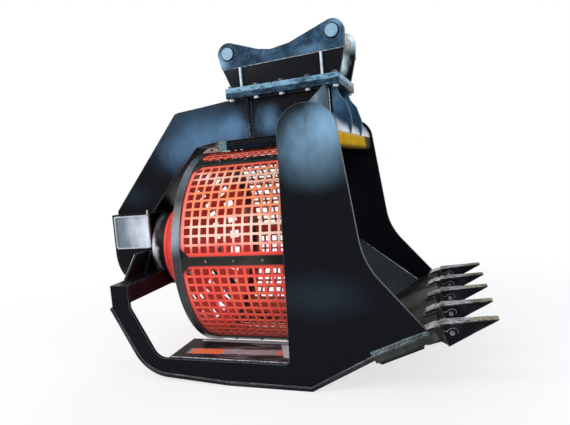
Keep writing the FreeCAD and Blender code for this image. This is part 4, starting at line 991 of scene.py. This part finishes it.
def bead(
    name: str, runs: Sequence[Sequence[Point]], radius: float, seed: int, step: float = 0.007
) -> bpy.types.Object:
    """Lay weld beads with ripples along open lines.

    Args:
        name: The piece's name.
        runs: Lines of points in the row frame.
        radius: Half the bead's width.
        seed: Seed of the unevenness.
        step: Distance between two ripples.

    Returns:
        One mesh with all the beads.
    """
    chance = random.Random(seed)
    clear_selection()
    curve = bpy.data.curves.new(name, "CURVE")
    curve.dimensions = "3D"
    curve.bevel_depth = radius
    curve.bevel_resolution = 1
    curve.use_fill_caps = True
    for run in runs:
        places: list[Vector] = []
        for a, b in zip(run, run[1:]):
            start, end = Vector(a), Vector(b)
            count = max(2, round((end - start).length / step))
            places += [start.lerp(end, index / count) for index in range(count)]
        places.append(Vector(run[-1]))
        spline = curve.splines.new("POLY")
        spline.points.add(len(places) - 1)
        for index, (point, place) in enumerate(zip(spline.points, places)):
            point.co = (*place, 1.0)
            crest = 1.0 if index % 2 else 0.78
            point.radius = crest * chance.uniform(0.88, 1.1) * (0.5 if index in (0, len(places) - 1) else 1)
    obj = bpy.data.objects.new(name, curve)
    bpy.context.collection.objects.link(obj)
    activate(obj)
    bpy.ops.object.convert(target="MESH")
    obj = added(name)
    bpy.ops.object.shade_smooth()
    return obj


def plate_copy(node: str, width: float) -> bpy.types.Object:
    """Copy a CAD node with merged faces and rounded edges, to stand for it.

    Args:
        node: The CAD node's name.
        width: Edge radius; 0 leaves the edges sharp.

    Returns:
        The copy, which replaces the node.
    """
    obj = twin(node + "_finished", FRAME["nodes"][node])
    activate(obj)
    bpy.ops.object.mode_set(mode="EDIT")
    bpy.ops.mesh.select_all(action="SELECT")
    bpy.ops.mesh.remove_doubles(threshold=MERGE)
    bpy.ops.mesh.dissolve_limited(angle_limit=math.radians(0.6))
    bpy.ops.mesh.normals_make_consistent(inside=False)
    bpy.ops.object.mode_set(mode="OBJECT")
    if width:
        edge_round(obj, width)
    activate(obj)
    bpy.ops.object.shade_smooth_by_angle(angle=math.radians(30.0))
    apply_modifier(obj, "WEIGHTED_NORMAL", keep_sharp=True)
    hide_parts(node)
    return obj


# Sub-assemblies


@dataclass
class WeldedBody:
    """The welded plates of the bucket, the arch and the hitch, with rounded edges."""

    paint: Paintbox
    finish_of: dict[str, str] = field(default_factory=lambda: {
        "side_plate": "plate_side", "arch_plate": "plate_arch",
        "skid_strip": "plate_skid", "hitch_ear_left": "ear_far", "hitch_ear": "plate_ear",
        "ear_doubler": "plate_hitch",
        "body_flange": "plate_flange", "hitch_base": "plate_base", "hood_plate": "plate_hood",
        "shoulder_gussets": "plate_shoulder", "front_gussets": "plate_gusset",
        "mouth_crosspiece": "band_yellow", "corner_plates": "plate_funnel", "mouth_floor": "plate_floor",
        "lip_plate": "plate_floor",
        "ear_ribs": "steel_bright", "housing_side_panels": "plate_panel", "flange_bolts": "bolt_flange",
        "rear_hitch_pin": "pin_shaft", "front_hitch_pin": "pin_shaft", "window_ledge": "plate_ledge",
        "housing_flange": "plate_collar", "tooth_adapters": "adapter", "guide_brackets": "bracket_paint",
    })
    width_of: dict[str, float] = field(default_factory=lambda: {
        "tooth_adapters": 0.005, "flange_bolts": 0.0012, "ear_doubler": 0.003, "rear_hitch_pin": 0.004,
        "front_hitch_pin": 0.004, "housing_flange": 0.006, "skid_strip": 0.004, "lip_plate": 0.006,
        "mouth_crosspiece": 0.003, "body_flange": 0.004, "hitch_base": 0.004,
    })
    made_anew: tuple[str, ...] = ("tooth_tips",)
    edge: float = 0.0022

    def _look(self, table: dict[str, object], node: str, fallback: object) -> object:
        """Return a table's entry for a node, by its name or its start."""
        for key, value in table.items():
            if node.startswith(key):
                return value
        return fallback

    def build(self, nodes: Iterable[str]) -> None:
        """Copy and dress the frame's nodes.

        Args:
            nodes: Names of CAD nodes on the frame.
        """
        for node in nodes:
            if node in self.made_anew:
                continue
            piece = plate_copy(node, self._look(self.width_of, node, self.edge))
            finish = self.paint[self._look(self.finish_of, node, "plate_dark")]
            dress(piece, finish, Body.FRAME)


@dataclass
class ScreenDrum:
    """The turning drum: perforated panels, bars, rings, cone and hub."""

    paint: Paintbox
    axis_z: float = 0.656
    start_x: float = -0.285
    length: float = 0.630
    radius: float = 0.593
    thickness: float = 0.008
    columns: int = 12
    rows: int = 11
    pitch: float = 0.050
    web: float = 0.0130
    corner: float = 0.0025
    count: int = 6
    gap: float = 0.002
    edge: float = 0.0012
    ring_edge: float = 0.002

    def _sheet(self, name: str) -> bpy.types.Object:
        """Punch one flat panel and roll it round the axis, its middle upwards."""
        arc = self.radius * math.tau / self.count - self.gap
        clear_selection()
        bpy.ops.mesh.primitive_grid_add(x_subdivisions=self.columns + 2, y_subdivisions=self.rows + 2,
                                        size=1.0, location=(0, 0, 0))
        obj = added(name)
        mesh = bmesh.new()
        mesh.from_mesh(obj.data)
        side_x = (self.length - self.columns * self.pitch) / 2
        side_y = (arc - self.rows * self.pitch) / 2
        xs = [0.0] + [side_x + self.pitch * i for i in range(self.columns + 1)] + [self.length]
        ys = [0.0] + [side_y + self.pitch * i for i in range(self.rows + 1)] + [arc]
        for vert in mesh.verts:
            column = round((vert.co.x + 0.5) * (self.columns + 2))
            row = round((vert.co.y + 0.5) * (self.rows + 2))
            vert.co = Vector((xs[column], ys[row] - arc / 2, 0.0))
        mesh.to_mesh(obj.data)
        mesh.free()
        activate(obj)
        bpy.ops.object.mode_set(mode="EDIT")
        bpy.ops.mesh.select_all(action="DESELECT")
        mesh = bmesh.from_edit_mesh(obj.data)
        for face in mesh.faces:
            centre = face.calc_center_median()
            face.select = side_x < centre.x < self.length - side_x and abs(centre.y) < arc / 2 - side_y
        bmesh.update_edit_mesh(obj.data)
        bpy.ops.mesh.inset(thickness=self.web / 2, use_individual=True)
        mesh = bmesh.from_edit_mesh(obj.data)
        corners = {vert for face in mesh.faces if face.select for vert in face.verts}
        holes = [face for face in mesh.faces if face.select]
        bmesh.ops.delete(mesh, geom=holes, context="FACES_ONLY")
        bmesh.ops.bevel(mesh, geom=list(corners), offset=self.corner, segments=1, affect="VERTICES",
                        offset_type="OFFSET", clamp_overlap=True)
        bmesh.update_edit_mesh(obj.data)
        bpy.ops.object.mode_set(mode="OBJECT")
        for vert in obj.data.vertices:
            angle = vert.co.y / self.radius
            vert.co = Vector((vert.co.x, self.radius * math.sin(angle), self.radius * math.cos(angle)))
        apply_modifier(obj, "SOLIDIFY", thickness=self.thickness, offset=-1.0)
        edge_round(obj, self.edge, 1, 50.0)
        return obj

    def _turned(self, obj: bpy.types.Object, degrees: float) -> None:
        """Turn a piece about the drum axis and put it in place."""
        turn = Matrix.Rotation(math.radians(degrees), 4, "X")
        obj.matrix_world = Matrix.Translation((0, 0, self.axis_z)) @ turn
        settle(obj, 30.0)

    def panels(self) -> None:
        """Punch, roll and place the six panels."""
        first = self._sheet("screen_mesh_1")
        first.data.transform(Matrix.Translation((self.start_x, 0, 0)))
        copies = [first] + [twin(f"screen_mesh_{index}", first) for index in range(2, self.count + 1)]
        for index, obj in enumerate(copies):
            self._turned(obj, 360.0 / self.count * index)
            dress(obj, self.paint["screen_red"], Body.DRUM)
            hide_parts(f"screen_panel_{index + 1}")

    def rings(self) -> None:
        """Round the edges of rings, bars, hub and bolts."""
        finish = {"clamp_bars": "plate_bar", "clamp_screws": "steel_screw", "hub_bolts": "steel_bolt",
                  "drum_hub": "screen_red", "rear_cone": "screen_red"}
        for node in ("drum_rear_ring", "drum_front_ring", "clamp_bars", "clamp_screws", "hub_bolts",
                     "drum_hub", "rear_cone"):
            piece = plate_copy(node, 0.0 if node == "rear_cone" else self.ring_edge)
            look = finish.get(node, "plate_ring")
            dress(piece, self.paint[look], Body.DRUM)

    def build(self) -> None:
        """Build the drum."""
        self.panels()
        self.rings()


@dataclass
class Mouth:
    """Places on the sloped lip and on the teeth, seen from the side, and what stands there."""

    lip_rear: Flat = (0.714, 0.194)
    lip_angle: float = 23.95
    lip_depth: float = 0.310
    lip_thick: float = 0.035
    tooth_angle: float = 17.9
    tooth_drop: float = 0.013

    def on_lip(self, distance: float, up: float = 0.0) -> Flat:
        """Return the (x, z) place along the lip and above its top face."""
        turn = math.radians(self.lip_angle)
        return (
            self.lip_rear[0] + distance * math.cos(turn) - up * math.sin(turn),
            self.lip_rear[1] + distance * math.sin(turn) + up * math.cos(turn),
        )

    def tooth_base(self) -> Matrix:
        """Return the frame of a tooth: its X along the tooth, its Z above it, at the lip's edge."""
        x, z = self.on_lip(self.lip_depth, -self.lip_thick / 2)
        turn = Matrix.Rotation(-math.radians(self.tooth_angle), 4, "Y")
        return Matrix.Translation((x, 0, z)) @ turn @ Matrix.Translation((0, 0, -self.tooth_drop))


@dataclass
class Teeth:
    """Five forged tips with a stepped blade, lock pins and curved ribs on their flanks."""

    paint: Paintbox
    mouth: Mouth
    count: int = 5
    outer: float = 0.585
    start: float = 0.025
    length: float = 0.240
    rear: Flat = (0.108, 0.092)
    tip: Flat = (0.007, 0.052)
    step_at: float = 0.105
    step_len: float = 0.012
    blade_width: float = 0.066
    pin_radius: float = 0.0105
    pin_place: Flat = (0.062, 0.002)
    curl_reach: Flat = (0.024, 0.017)
    curl_radius: float = 0.0018
    strap_half: float = 0.046
    strap_ends: Flat = (0.064, 0.006)
    strap_levels: Flat = (0.003, -0.038)
    strap_weld: float = 0.006

    def _size_at(self, distance: float) -> Flat:
        """Return the height and width of the plain taper at a distance from its rear."""
        share = distance / self.length
        return tuple(a + (b - a) * share for a, b in zip(self.rear, self.tip))

    def _tip(self) -> bpy.types.Object:
        """Extrude one tip along X from its rear section, with a step down to the blade."""
        clear_selection()
        bpy.ops.mesh.primitive_plane_add(size=1.0)
        obj = added("tooth_tip")
        obj.rotation_euler = (0, math.radians(90), 0)
        obj.scale = (self.rear[0], self.rear[1], 1)
        obj.location = (self.start, 0, 0)
        activate(obj)
        bpy.ops.object.transform_apply(location=True, rotation=True, scale=True)
        bpy.ops.object.mode_set(mode="EDIT")
        bpy.ops.mesh.select_all(action="SELECT")
        place, (high, wide) = 0.0, self.rear
        stops = [
            (self.step_at, self._size_at(self.step_at)[1]),
            (self.step_at + self.step_len, self.blade_width),
            (self.length - 0.03, self.blade_width - 0.006),
            (self.length, self.tip[1]),
        ]
        for distance, width in stops:
            height = self._size_at(distance)[0]
            bpy.ops.mesh.extrude_region_move(TRANSFORM_OT_translate={"value": (distance - place, 0, 0)})
            bpy.ops.transform.resize(value=(1, width / wide, height / high),
                                     center_override=(self.start + distance, 0, 0))
            place, high, wide = distance, height, width
        bpy.ops.object.mode_set(mode="OBJECT")
        outward(obj)
        edge_round(obj, 0.005, 2, 20.0)
        return obj

    def _flanks(self) -> list[bpy.types.Object]:
        """Return the lock pin and the curved rib of both flanks."""
        parts = []
        x, z = self.pin_place
        half = self._size_at(x - self.start)[1] / 2
        for side in Side:
            y = side.value * (half - 0.002)
            profile = [(0, 0), (self.pin_radius, 0), (self.pin_radius, 0.006),
                       (self.pin_radius * 0.6, 0.006), (self.pin_radius * 0.5, 0.004), (0, 0.004)]
            parts.append(turned_part("tooth_pin", profile, (x, y, z), (0, side.value, 0), 16))
            curl = []
            for step in range(13):
                turn = math.radians(150 - 195 * step / 12)
                place = x + 0.003 + self.curl_reach[0] * math.cos(turn)
                skin = side.value * self._size_at(place - self.start)[1] / 2
                curl.append((place, skin, z + 0.004 + self.curl_reach[1] * math.sin(turn)))
            lead = (self.start + 0.004, side.value * self.rear[1] / 2, z + 0.020)
            parts.append(bead("tooth_rib", [[lead] + curl], self.curl_radius, 5, 0.004))
        return parts

    def _strap_welds(self) -> bpy.types.Object:
        """Return the weld beads around the adapter's strap on the lip."""
        runs, half = [], self.strap_half
        for up in self.strap_levels:
            rear, front = (self.mouth.on_lip(self.mouth.lip_depth - end, up) for end in self.strap_ends)
            runs.append([(x, y, z) for y, ends in ((-half, (front, rear)), (half, (rear, front)))
                         for x, z in ends])
        return bead("adapter_weld", runs, self.strap_weld, 11)

    def build(self) -> None:
        """Build one tooth and copy it across the lip."""
        frame = self.mouth.tooth_base()
        model = {"tooth_tip": [self._tip()], "tooth_lock": self._flanks()}
        first = {}
        for name, parts in model.items():
            for part in parts:
                part.data.transform(frame)
            first[name] = joined(name, parts) if len(parts) > 1 else parts[0]
        first["adapter_weld"] = self._strap_welds()
        finish = {"tooth_tip": "tooth", "tooth_lock": "steel_lock", "adapter_weld": "weld_tooth"}
        for name, pattern in first.items():
            copies = []
            for index in range(self.count):
                copy = twin(f"{name}_{index + 1}", pattern)
                copy.data.transform(Matrix.Translation((0, self.outer * (index / 2 - 1), 0)))
                copies.append(copy)
            bpy.data.objects.remove(pattern)
            stands_in = name == "tooth_tip"
            group = joined(name + ("s_finished" if stands_in else "s"), copies)
            if stands_in:
                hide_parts("tooth_tips")
            dress(group, self.paint[finish[name]], Body.FRAME)


@dataclass
class Welds:
    """Weld beads along the main joints of the body."""

    paint: Paintbox
    mouth: Mouth
    outer: float = 0.650
    inner: float = 0.630
    arch: float = 0.190
    leg_top: Flat = (-0.7270, 0.4140)
    leg_corner: Flat = (-0.5300, 0.0513)
    skid_line: tuple[Flat, ...] = ((-0.040, 0.020), (0.405, 0.020), (0.714, 0.194))
    leg_round: float = 0.223

    def _both(self, points: Sequence[Point]) -> list[list[Point]]:
        """Return a line given for the left side, on both sides."""
        return [[(x, side.value * y, z) for x, y, z in points] for side in Side]

    def _lip(self) -> list[list[Point]]:
        """Return the two passes of the heavy weld along the lip's ends."""
        passes = []
        for up in (0.005, 0.018):
            stops = (-0.004, 0.07, 0.14, 0.21, 0.268 - up)
            line = [self.mouth.on_lip(distance, up) for distance in stops]
            x_end, z_end = self.mouth.on_lip(0.284, up * 0.6)
            end = (x_end, self.outer - 0.004, z_end)
            passes.append([(x, self.outer + 0.001, z) for x, z in line] + [end])
        return passes

    def _upright(self, y: float, *places: Flat) -> list[Point]:
        """Return a line of (x, z) places at one distance from the middle."""
        return [(x, y, z) for x, z in places]

    def build(self) -> None:
        """Lay the beads, grouped by how light their metal is."""
        side, rim, arch, line = self.outer + 0.002, self.inner - 0.003, self.arch, self._upright
        lower = [(x, side, z + 0.003) for x, z in self.skid_line]
        top = (self.leg_top[0], side, self.leg_top[1])
        corner = (self.leg_corner[0], side, self.leg_corner[1] + 0.003)
        arc = corner_arc(top, corner, lower[0], self.leg_round)
        groups = [
            ("weld_lip_band", self._lip(), 0.0095, "weld_lip", 21),
            ("weld_skid_run", [arc[3:] + lower], 0.0045, "weld_skid", 22),
            ("weld_leg_run", [[top] + arc[:4]], 0.0035, "weld_dark", 23),
            ("weld_corner_seam", [line(rim, (0.417, 0.612), (0.860, 0.264))], 0.005, "weld_light", 24),
            # a weld on the ledge's joint; its light metal is also a painted highlight along the window's
            # lower rail
            ("weld_window_rail", [line(rim, (-0.400, 0.132), (0.290, 0.132))], 0.0035, "weld_light", 25),
            ("weld_arch_top", [
                line(arch - 0.002, (-0.950, 0.925), (-0.455, 1.499), (-0.080, 1.534)),
                line(arch, (-0.700, 0.886), (-0.621, 0.974), (-0.557, 1.052), (-0.416, 1.216)),
            ], 0.003, "weld_dark", 26),
            ("weld_arch_rib", [line(arch + 0.001, (0.031, 1.310), (0.031, 1.530))], 0.0065, "weld_rib", 27),
            ("weld_arch_rib_front", [line(arch + 0.001, (0.049, 1.310), (0.049, 1.530))], 0.005,
             "weld_dark", 31),
            ("weld_flange", [
                line(arch + 0.002, (-0.078, 1.532), (0.520, 1.532)),
                line(arch + 0.002, (-0.055, 1.597), (0.572, 1.597)),
            ], 0.005, "weld_dark", 28),
            ("weld_ear_step", [line(arch + 0.003, (-0.104, 1.711), (0.618, 1.729))], 0.004,
             "weld_light", 29),
            ("weld_shoulder", [
                line(arch + 0.001, (0.509, 1.528), (0.509, 1.392)) + [(0.524, arch - 0.010, 1.372)],
                [(-0.701, 0.245, 0.540), (-0.701, 0.333, 0.540)],
            ], 0.0045, "weld_light", 30),
        ]
        for name, lines, radius, finish, seed in groups:
            runs = [run for points in lines for run in self._both(points)]
            dress(bead(name, runs, radius, seed), self.paint[finish], Body.FRAME)


@dataclass
class Hitch:
    """Pin ends with their grooves, the rings around them and the keepers on the far side."""

    paint: Paintbox
    pins: tuple[Flat, ...] = ((-0.060, 1.795), (0.552, 1.821))
    pin_end: float = 0.214
    doubler: float = 0.200
    ring: tuple[Flat, ...] = (
        (0.0415, 0.0), (0.054, 0.0), (0.054, 0.003), (0.051, 0.005), (0.0430, 0.005), (0.0415, 0.0),
    )
    face: tuple[Flat, ...] = (
        (0, 0), (0.0345, 0), (0.0345, 0.003), (0.0290, 0.003), (0.0280, 0.0012), (0.0250, 0.0012),
        (0.0240, 0.003), (0.0100, 0.003), (0.0090, 0.0012), (0, 0.0012),
    )
    keeper_low: Flat = (-0.060, -0.016)
    keeper_high: Flat = (0.010, 0.016)
    keeper_thick: float = 0.008
    keeper_bolt: Flat = (0.018, 0.008)
    bolt_back: float = 0.048

    def build(self) -> None:
        """Build the rings, the pin ends and the keepers."""
        rings, faces, keepers = [], [], []
        skin = self.pin_end + self.keeper_thick
        for x, z in self.pins:
            for side in Side:
                way = (0, side.value, 0)
                rings.append(turned_part("ear_ring", self.ring, (x, side.value * self.doubler, z), way, 48))
                faces.append(turned_part("pin_face", self.face, (x, side.value * self.pin_end, z), way, 48))
            low = (x + self.keeper_low[0], self.pin_end, z + self.keeper_low[1])
            high = (x + self.keeper_high[0], skin, z + self.keeper_high[1])
            keepers.append(strip("pin_keeper", low, high))
            keepers.append(hex_head("pin_keeper_bolt", *self.keeper_bolt, (x - self.bolt_back, skin, z),
                                    (0, 1, 0)))
        dress(joined("ear_rings", rings), self.paint["plate_hitch"], Body.FRAME)
        dress(joined("pin_faces", faces), self.paint["steel_pin"], Body.FRAME)
        dress(joined("pin_keepers", keepers), self.paint["steel_bolt"], Body.FRAME)


@dataclass
class Ledges:
    """Wear strips on the two ledges beside the drum."""

    paint: Paintbox
    top: float = 0.130
    thick: float = 0.0015
    along: tuple[Flat, ...] = ((-0.330, 0.328), (0.205, 0.328), (0.205, 0.366), (-0.330, 0.366))
    across: tuple[Flat, ...] = ((0.172, 0.378), (0.222, 0.378), (0.292, 0.560), (0.242, 0.560))

    def build(self) -> None:
        """Lay the strip along the drum and the one at the window's front."""
        strips = []
        for side in Side:
            for corners in (self.along, self.across):
                places = [(x, side.value * y) for x, y in corners]
                strips.append(slab("wear_strip", places, self.top, self.top + self.thick, 0.0005))
        dress(joined("ledge_wear_strips", strips), self.paint["steel_bright"], Body.FRAME)


@dataclass
class Guard:
    """Rubber strips that hang from the long edges of the arch guard and keep stones out."""

    paint: Paintbox
    ends: Flat = (-0.170, 0.326)
    outer: float = 0.176
    thick: float = 0.006
    reach: Flat = (1.244, 1.290)
    bar_height: float = 0.018

    def build(self) -> None:
        """Hang the two strips and their clamping bars."""
        (rear, front), (low, high) = self.ends, self.reach
        bar_y = self.outer + self.thick
        kinds = [("guard_strip", self.outer, low, "rubber"),
                 ("guard_bar", bar_y, high - self.bar_height, "plate_dark")]
        for name, start, foot, finish in kinds:
            strips = []
            for side in Side:
                near, far = sorted((side.value * start, side.value * (start + self.thick)))
                strips.append(strip(name, (rear, near, foot), (front, far, high), 0.001))
            dress(joined(name + "s", strips), self.paint[finish], Body.FRAME)


@dataclass
class KneeStays:
    """Stay plates that stand on the rear beam and lean against the motor housing."""

    paint: Paintbox
    rear_x: float = -0.7265
    thick: float = 0.012
    corners: tuple[Flat, ...] = ((0.228, 0.5375), (0.514, 0.5375), (0.376, 0.669), (0.2405, 0.669))

    def build(self) -> None:
        """Stand one plate on each half of the beam."""
        upright = Matrix(((0, 0, 1, 0), (1, 0, 0, 0), (0, 1, 0, 0), (0, 0, 0, 1)))
        plates, runs = [], []
        for side in Side:
            places = [(side.value * y, z) for y, z in self.corners]
            plate = slab("knee_stay", places, self.rear_x, self.rear_x + self.thick, 0.0015)
            plate.data.transform(upright)
            plates.append(plate)
            (foot, low), (head, high) = places[1], places[2]
            runs.append([(self.rear_x - 0.001, foot, low), (self.rear_x - 0.001, head, high)])
        stays = joined("knee_stays", plates)
        outward(stays)
        dress(stays, self.paint["plate_dark"], Body.FRAME)
        # a light bead along each stay's slanted edge: a painted highlight of that edge
        edge = bead("knee_stay_edge_highlight", runs, 0.0025, 33)
        dress(edge, self.paint["weld_light"], Body.FRAME)


@dataclass
class Housing:
    """Frames and bolts of the side panels, and bolts of the rear cover, on the motor housing."""

    paint: Paintbox
    panel_x: Flat = (-0.938, -0.697)
    panel_z: Flat = (0.692, 0.886)
    panel_y: float = 0.250
    cover_x: float = -0.967
    cover_radius: float = 0.222
    axis_z: float = 0.656
    frame_x: Flat = (-0.947, -0.688)
    frame_z: Flat = (0.683, 0.895)
    bar: float = 0.007
    post_top: float = 0.925
    frame_y: float = 0.2395
    top_bolts: tuple[float, ...] = (-0.222, -0.074, 0.074, 0.222)
    top_z: float = 0.886
    panel_head: Flat = (0.010, 0.003)
    cover_head: Flat = (0.016, 0.007)

    def _frames(self) -> bpy.types.Object:
        """Return the narrow frames around the side panels and the post in front of each."""
        bars = []
        (left, right), (low, high) = self.frame_x, self.frame_z
        spans = [((left, low), (right, low + self.bar)), ((left, high - self.bar), (right, high)),
                 ((left, low), (left + self.bar, high)), ((right - self.bar, low), (right, self.post_top))]
        for side in Side:
            near, far = sorted((side.value * self.frame_y, side.value * (self.panel_y + 0.002)))
            for (x_low, z_low), (x_high, z_high) in spans:
                bars.append(strip("panel_frame", (x_low, near, z_low), (x_high, far, z_high), 0.001))
        return joined("panel_frames", bars)

    def build(self) -> None:
        """Build the frames and the small bolts."""
        dress(self._frames(), self.paint["steel_bright"], Body.FRAME)
        heads = []
        for side in Side:
            for x in (self.panel_x[0], sum(self.panel_x) / 2, self.panel_x[1]):
                for z in self.panel_z:
                    place = (x, side.value * self.panel_y, z)
                    heads.append(hex_head("panel_bolt", *self.panel_head, place, (0, side.value, 0)))
        turns = [math.radians(180 + 30 * step) for step in range(7)]
        places = [(self.cover_radius * math.cos(turn), self.axis_z + self.cover_radius * math.sin(turn))
                  for turn in turns] + [(y, self.top_z) for y in self.top_bolts]
        for y, z in places:
            heads.append(hex_head("cover_bolt", *self.cover_head, (self.cover_x, y, z), (-1, 0, 0)))
        dress(joined("housing_bolts", heads), self.paint["steel_bolt"], Body.FRAME)


@dataclass
class Studio:
    """Floor, lamps, world and the camera of the photograph."""

    eye: Point = (1.065, -2.9345, 1.105)
    azimuth: float = 20.95
    pitch: float = 4.68
    roll: float = -5.20
    focal_px: float = 496.7
    centre_px: Flat = (255.0, 212.5)
    frame_px: Flat = (570.0, 425.0)
    sensor: float = 36.0
    floor_size: float = 60.0
    floor_drop: float = 0.0005
    shadow_share: float = 0.30
    shadow_reach: Flat = (1.2, 3.4)

    def camera(self) -> None:
        """Place the camera at the photograph's viewing angle."""
        a, b, c = (math.radians(v) for v in (self.azimuth, self.pitch, self.roll))
        forward = Vector((-math.sin(a) * math.cos(b), math.cos(a) * math.cos(b), -math.sin(b)))
        level = Vector((math.cos(a), math.sin(a), 0.0))
        upright = level.cross(forward)
        right = level * math.cos(c) + upright * math.sin(c)
        up = -level * math.sin(c) + upright * math.cos(c)
        turn = Matrix((right, up, -forward)).transposed().to_4x4()
        data = bpy.data.cameras.new("camera")
        data.sensor_width = self.sensor
        data.lens = self.focal_px / self.frame_px[0] * self.sensor
        data.shift_x = (self.frame_px[0] / 2 - self.centre_px[0]) / self.frame_px[0]
        data.shift_y = (self.centre_px[1] - self.frame_px[1] / 2) / self.frame_px[0]
        camera = bpy.data.objects.new("camera", data)
        camera.matrix_world = Matrix.Translation(Vector(self.eye)) @ turn
        bpy.context.collection.objects.link(camera)
        bpy.context.scene.camera = camera

    def floor(self) -> None:
        """Add a pale floor that shows white and keeps the shadow."""
        clear_selection()
        bpy.ops.mesh.primitive_plane_add(size=self.floor_size, location=(0, 0, -self.floor_drop))
        plane = added("floor")
        g = Graph("floor_white")
        diffuse = g.node("ShaderNodeBsdfDiffuse", None, {"Color": (0.93, 0.93, 0.93)})
        glow = g.node("ShaderNodeEmission", None, {"Color": (1, 1, 1), "Strength": 1.0})
        seen = g.node("ShaderNodeLightPath", output="Is Camera Ray")
        shiny = g.node("ShaderNodeLightPath", output="Is Glossy Ray")
        x, y, _ = g.axes(g.place())
        reach = (x * x + y * y) ** 0.5
        far = reach.smooth(*self.shadow_reach)
        share = seen.most(shiny) * (1 - self.shadow_share + self.shadow_share * far)
        surface = g.node("ShaderNodeMixShader", None, {0: share, 1: diffuse, 2: glow})
        plane.data.materials.append(g.close(surface))

    def lamp(self, name: str, place: Point, target: Point, size: float, power: float, tint: Point) -> None:
        """Add one soft area lamp.

        Args:
            name: The lamp's name.
            place: Where it hangs.
            target: What it points at.
            size: Its edge length.
            power: Its power in watts.
            tint: Its colour.
        """
        data = bpy.data.lights.new(name, "AREA")
        data.shape = "SQUARE"
        data.size = size
        data.energy = power
        data.color = tint
        lamp = bpy.data.objects.new(name, data)
        lamp.location = place
        lamp.rotation_euler = (Vector(target) - Vector(place)).to_track_quat("-Z", "Y").to_euler()
        bpy.context.collection.objects.link(lamp)

    def world(self) -> None:
        """Make the world white where it is seen and a plain grey light elsewhere."""
        g = Graph("studio", bpy.data.worlds.new("studio"))
        rays = ("Is Camera Ray", "Is Glossy Ray", "Is Transmission Ray")
        camera, glossy, through = (g.node("ShaderNodeLightPath", output=ray) for ray in rays)
        white = g.node("ShaderNodeBackground", None, {"Color": (1, 1, 1)})
        grey = g.node("ShaderNodeBackground", None, {"Color": (0.80, 0.88, 1.0), "Strength": 0.55})
        seen = camera.most(glossy).most(through)
        surface = g.node("ShaderNodeMixShader", None, {0: seen, 1: grey, 2: white})
        bpy.context.scene.world = g.close(surface)

    def build(self) -> None:
        """Set the scene and its plain light."""
        self.floor()
        self.world()
        self.camera()
        self.lamp("key", (-2.5, -4.5, 4.2), (0, 0, 0.7), 2.4, 185.0, (1.0, 0.98, 0.95))
        self.lamp("fill", (4.2, -3.2, 2.6), (0.2, 0, 0.7), 2.6, 95.0, (0.93, 0.97, 1.0))
        self.lamp("back", (-1.0, 4.5, 3.8), (0, 0, 0.8), 3.0, 120.0, (0.95, 0.98, 1.0))
        bpy.context.scene.view_settings.view_transform = "Standard"


def main() -> None:
    """Build every piece, the studio and the camera."""
    logging.basicConfig(level=logging.INFO, format="%(name)s: %(message)s")
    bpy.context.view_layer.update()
    paint = Paintbox()
    paint.fill()
    ScreenDrum(paint).build()
    WeldedBody(paint).build(FRAME["record"]["behaviour"]["bodies"]["frame"])
    mouth = Mouth()
    Teeth(paint, mouth).build()
    Welds(paint, mouth).build()
    Hitch(paint).build()
    Ledges(paint).build()
    Guard(paint).build()
    KneeStays(paint).build()
    Housing(paint).build()
    Studio().build()


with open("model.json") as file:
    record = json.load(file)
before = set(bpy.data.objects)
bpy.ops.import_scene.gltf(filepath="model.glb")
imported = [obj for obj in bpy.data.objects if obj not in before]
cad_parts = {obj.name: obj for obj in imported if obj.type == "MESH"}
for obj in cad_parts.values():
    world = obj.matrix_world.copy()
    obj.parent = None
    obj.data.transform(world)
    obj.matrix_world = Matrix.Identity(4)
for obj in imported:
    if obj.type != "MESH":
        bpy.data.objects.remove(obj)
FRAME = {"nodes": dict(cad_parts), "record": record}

if __name__ == "__main__":
    main()
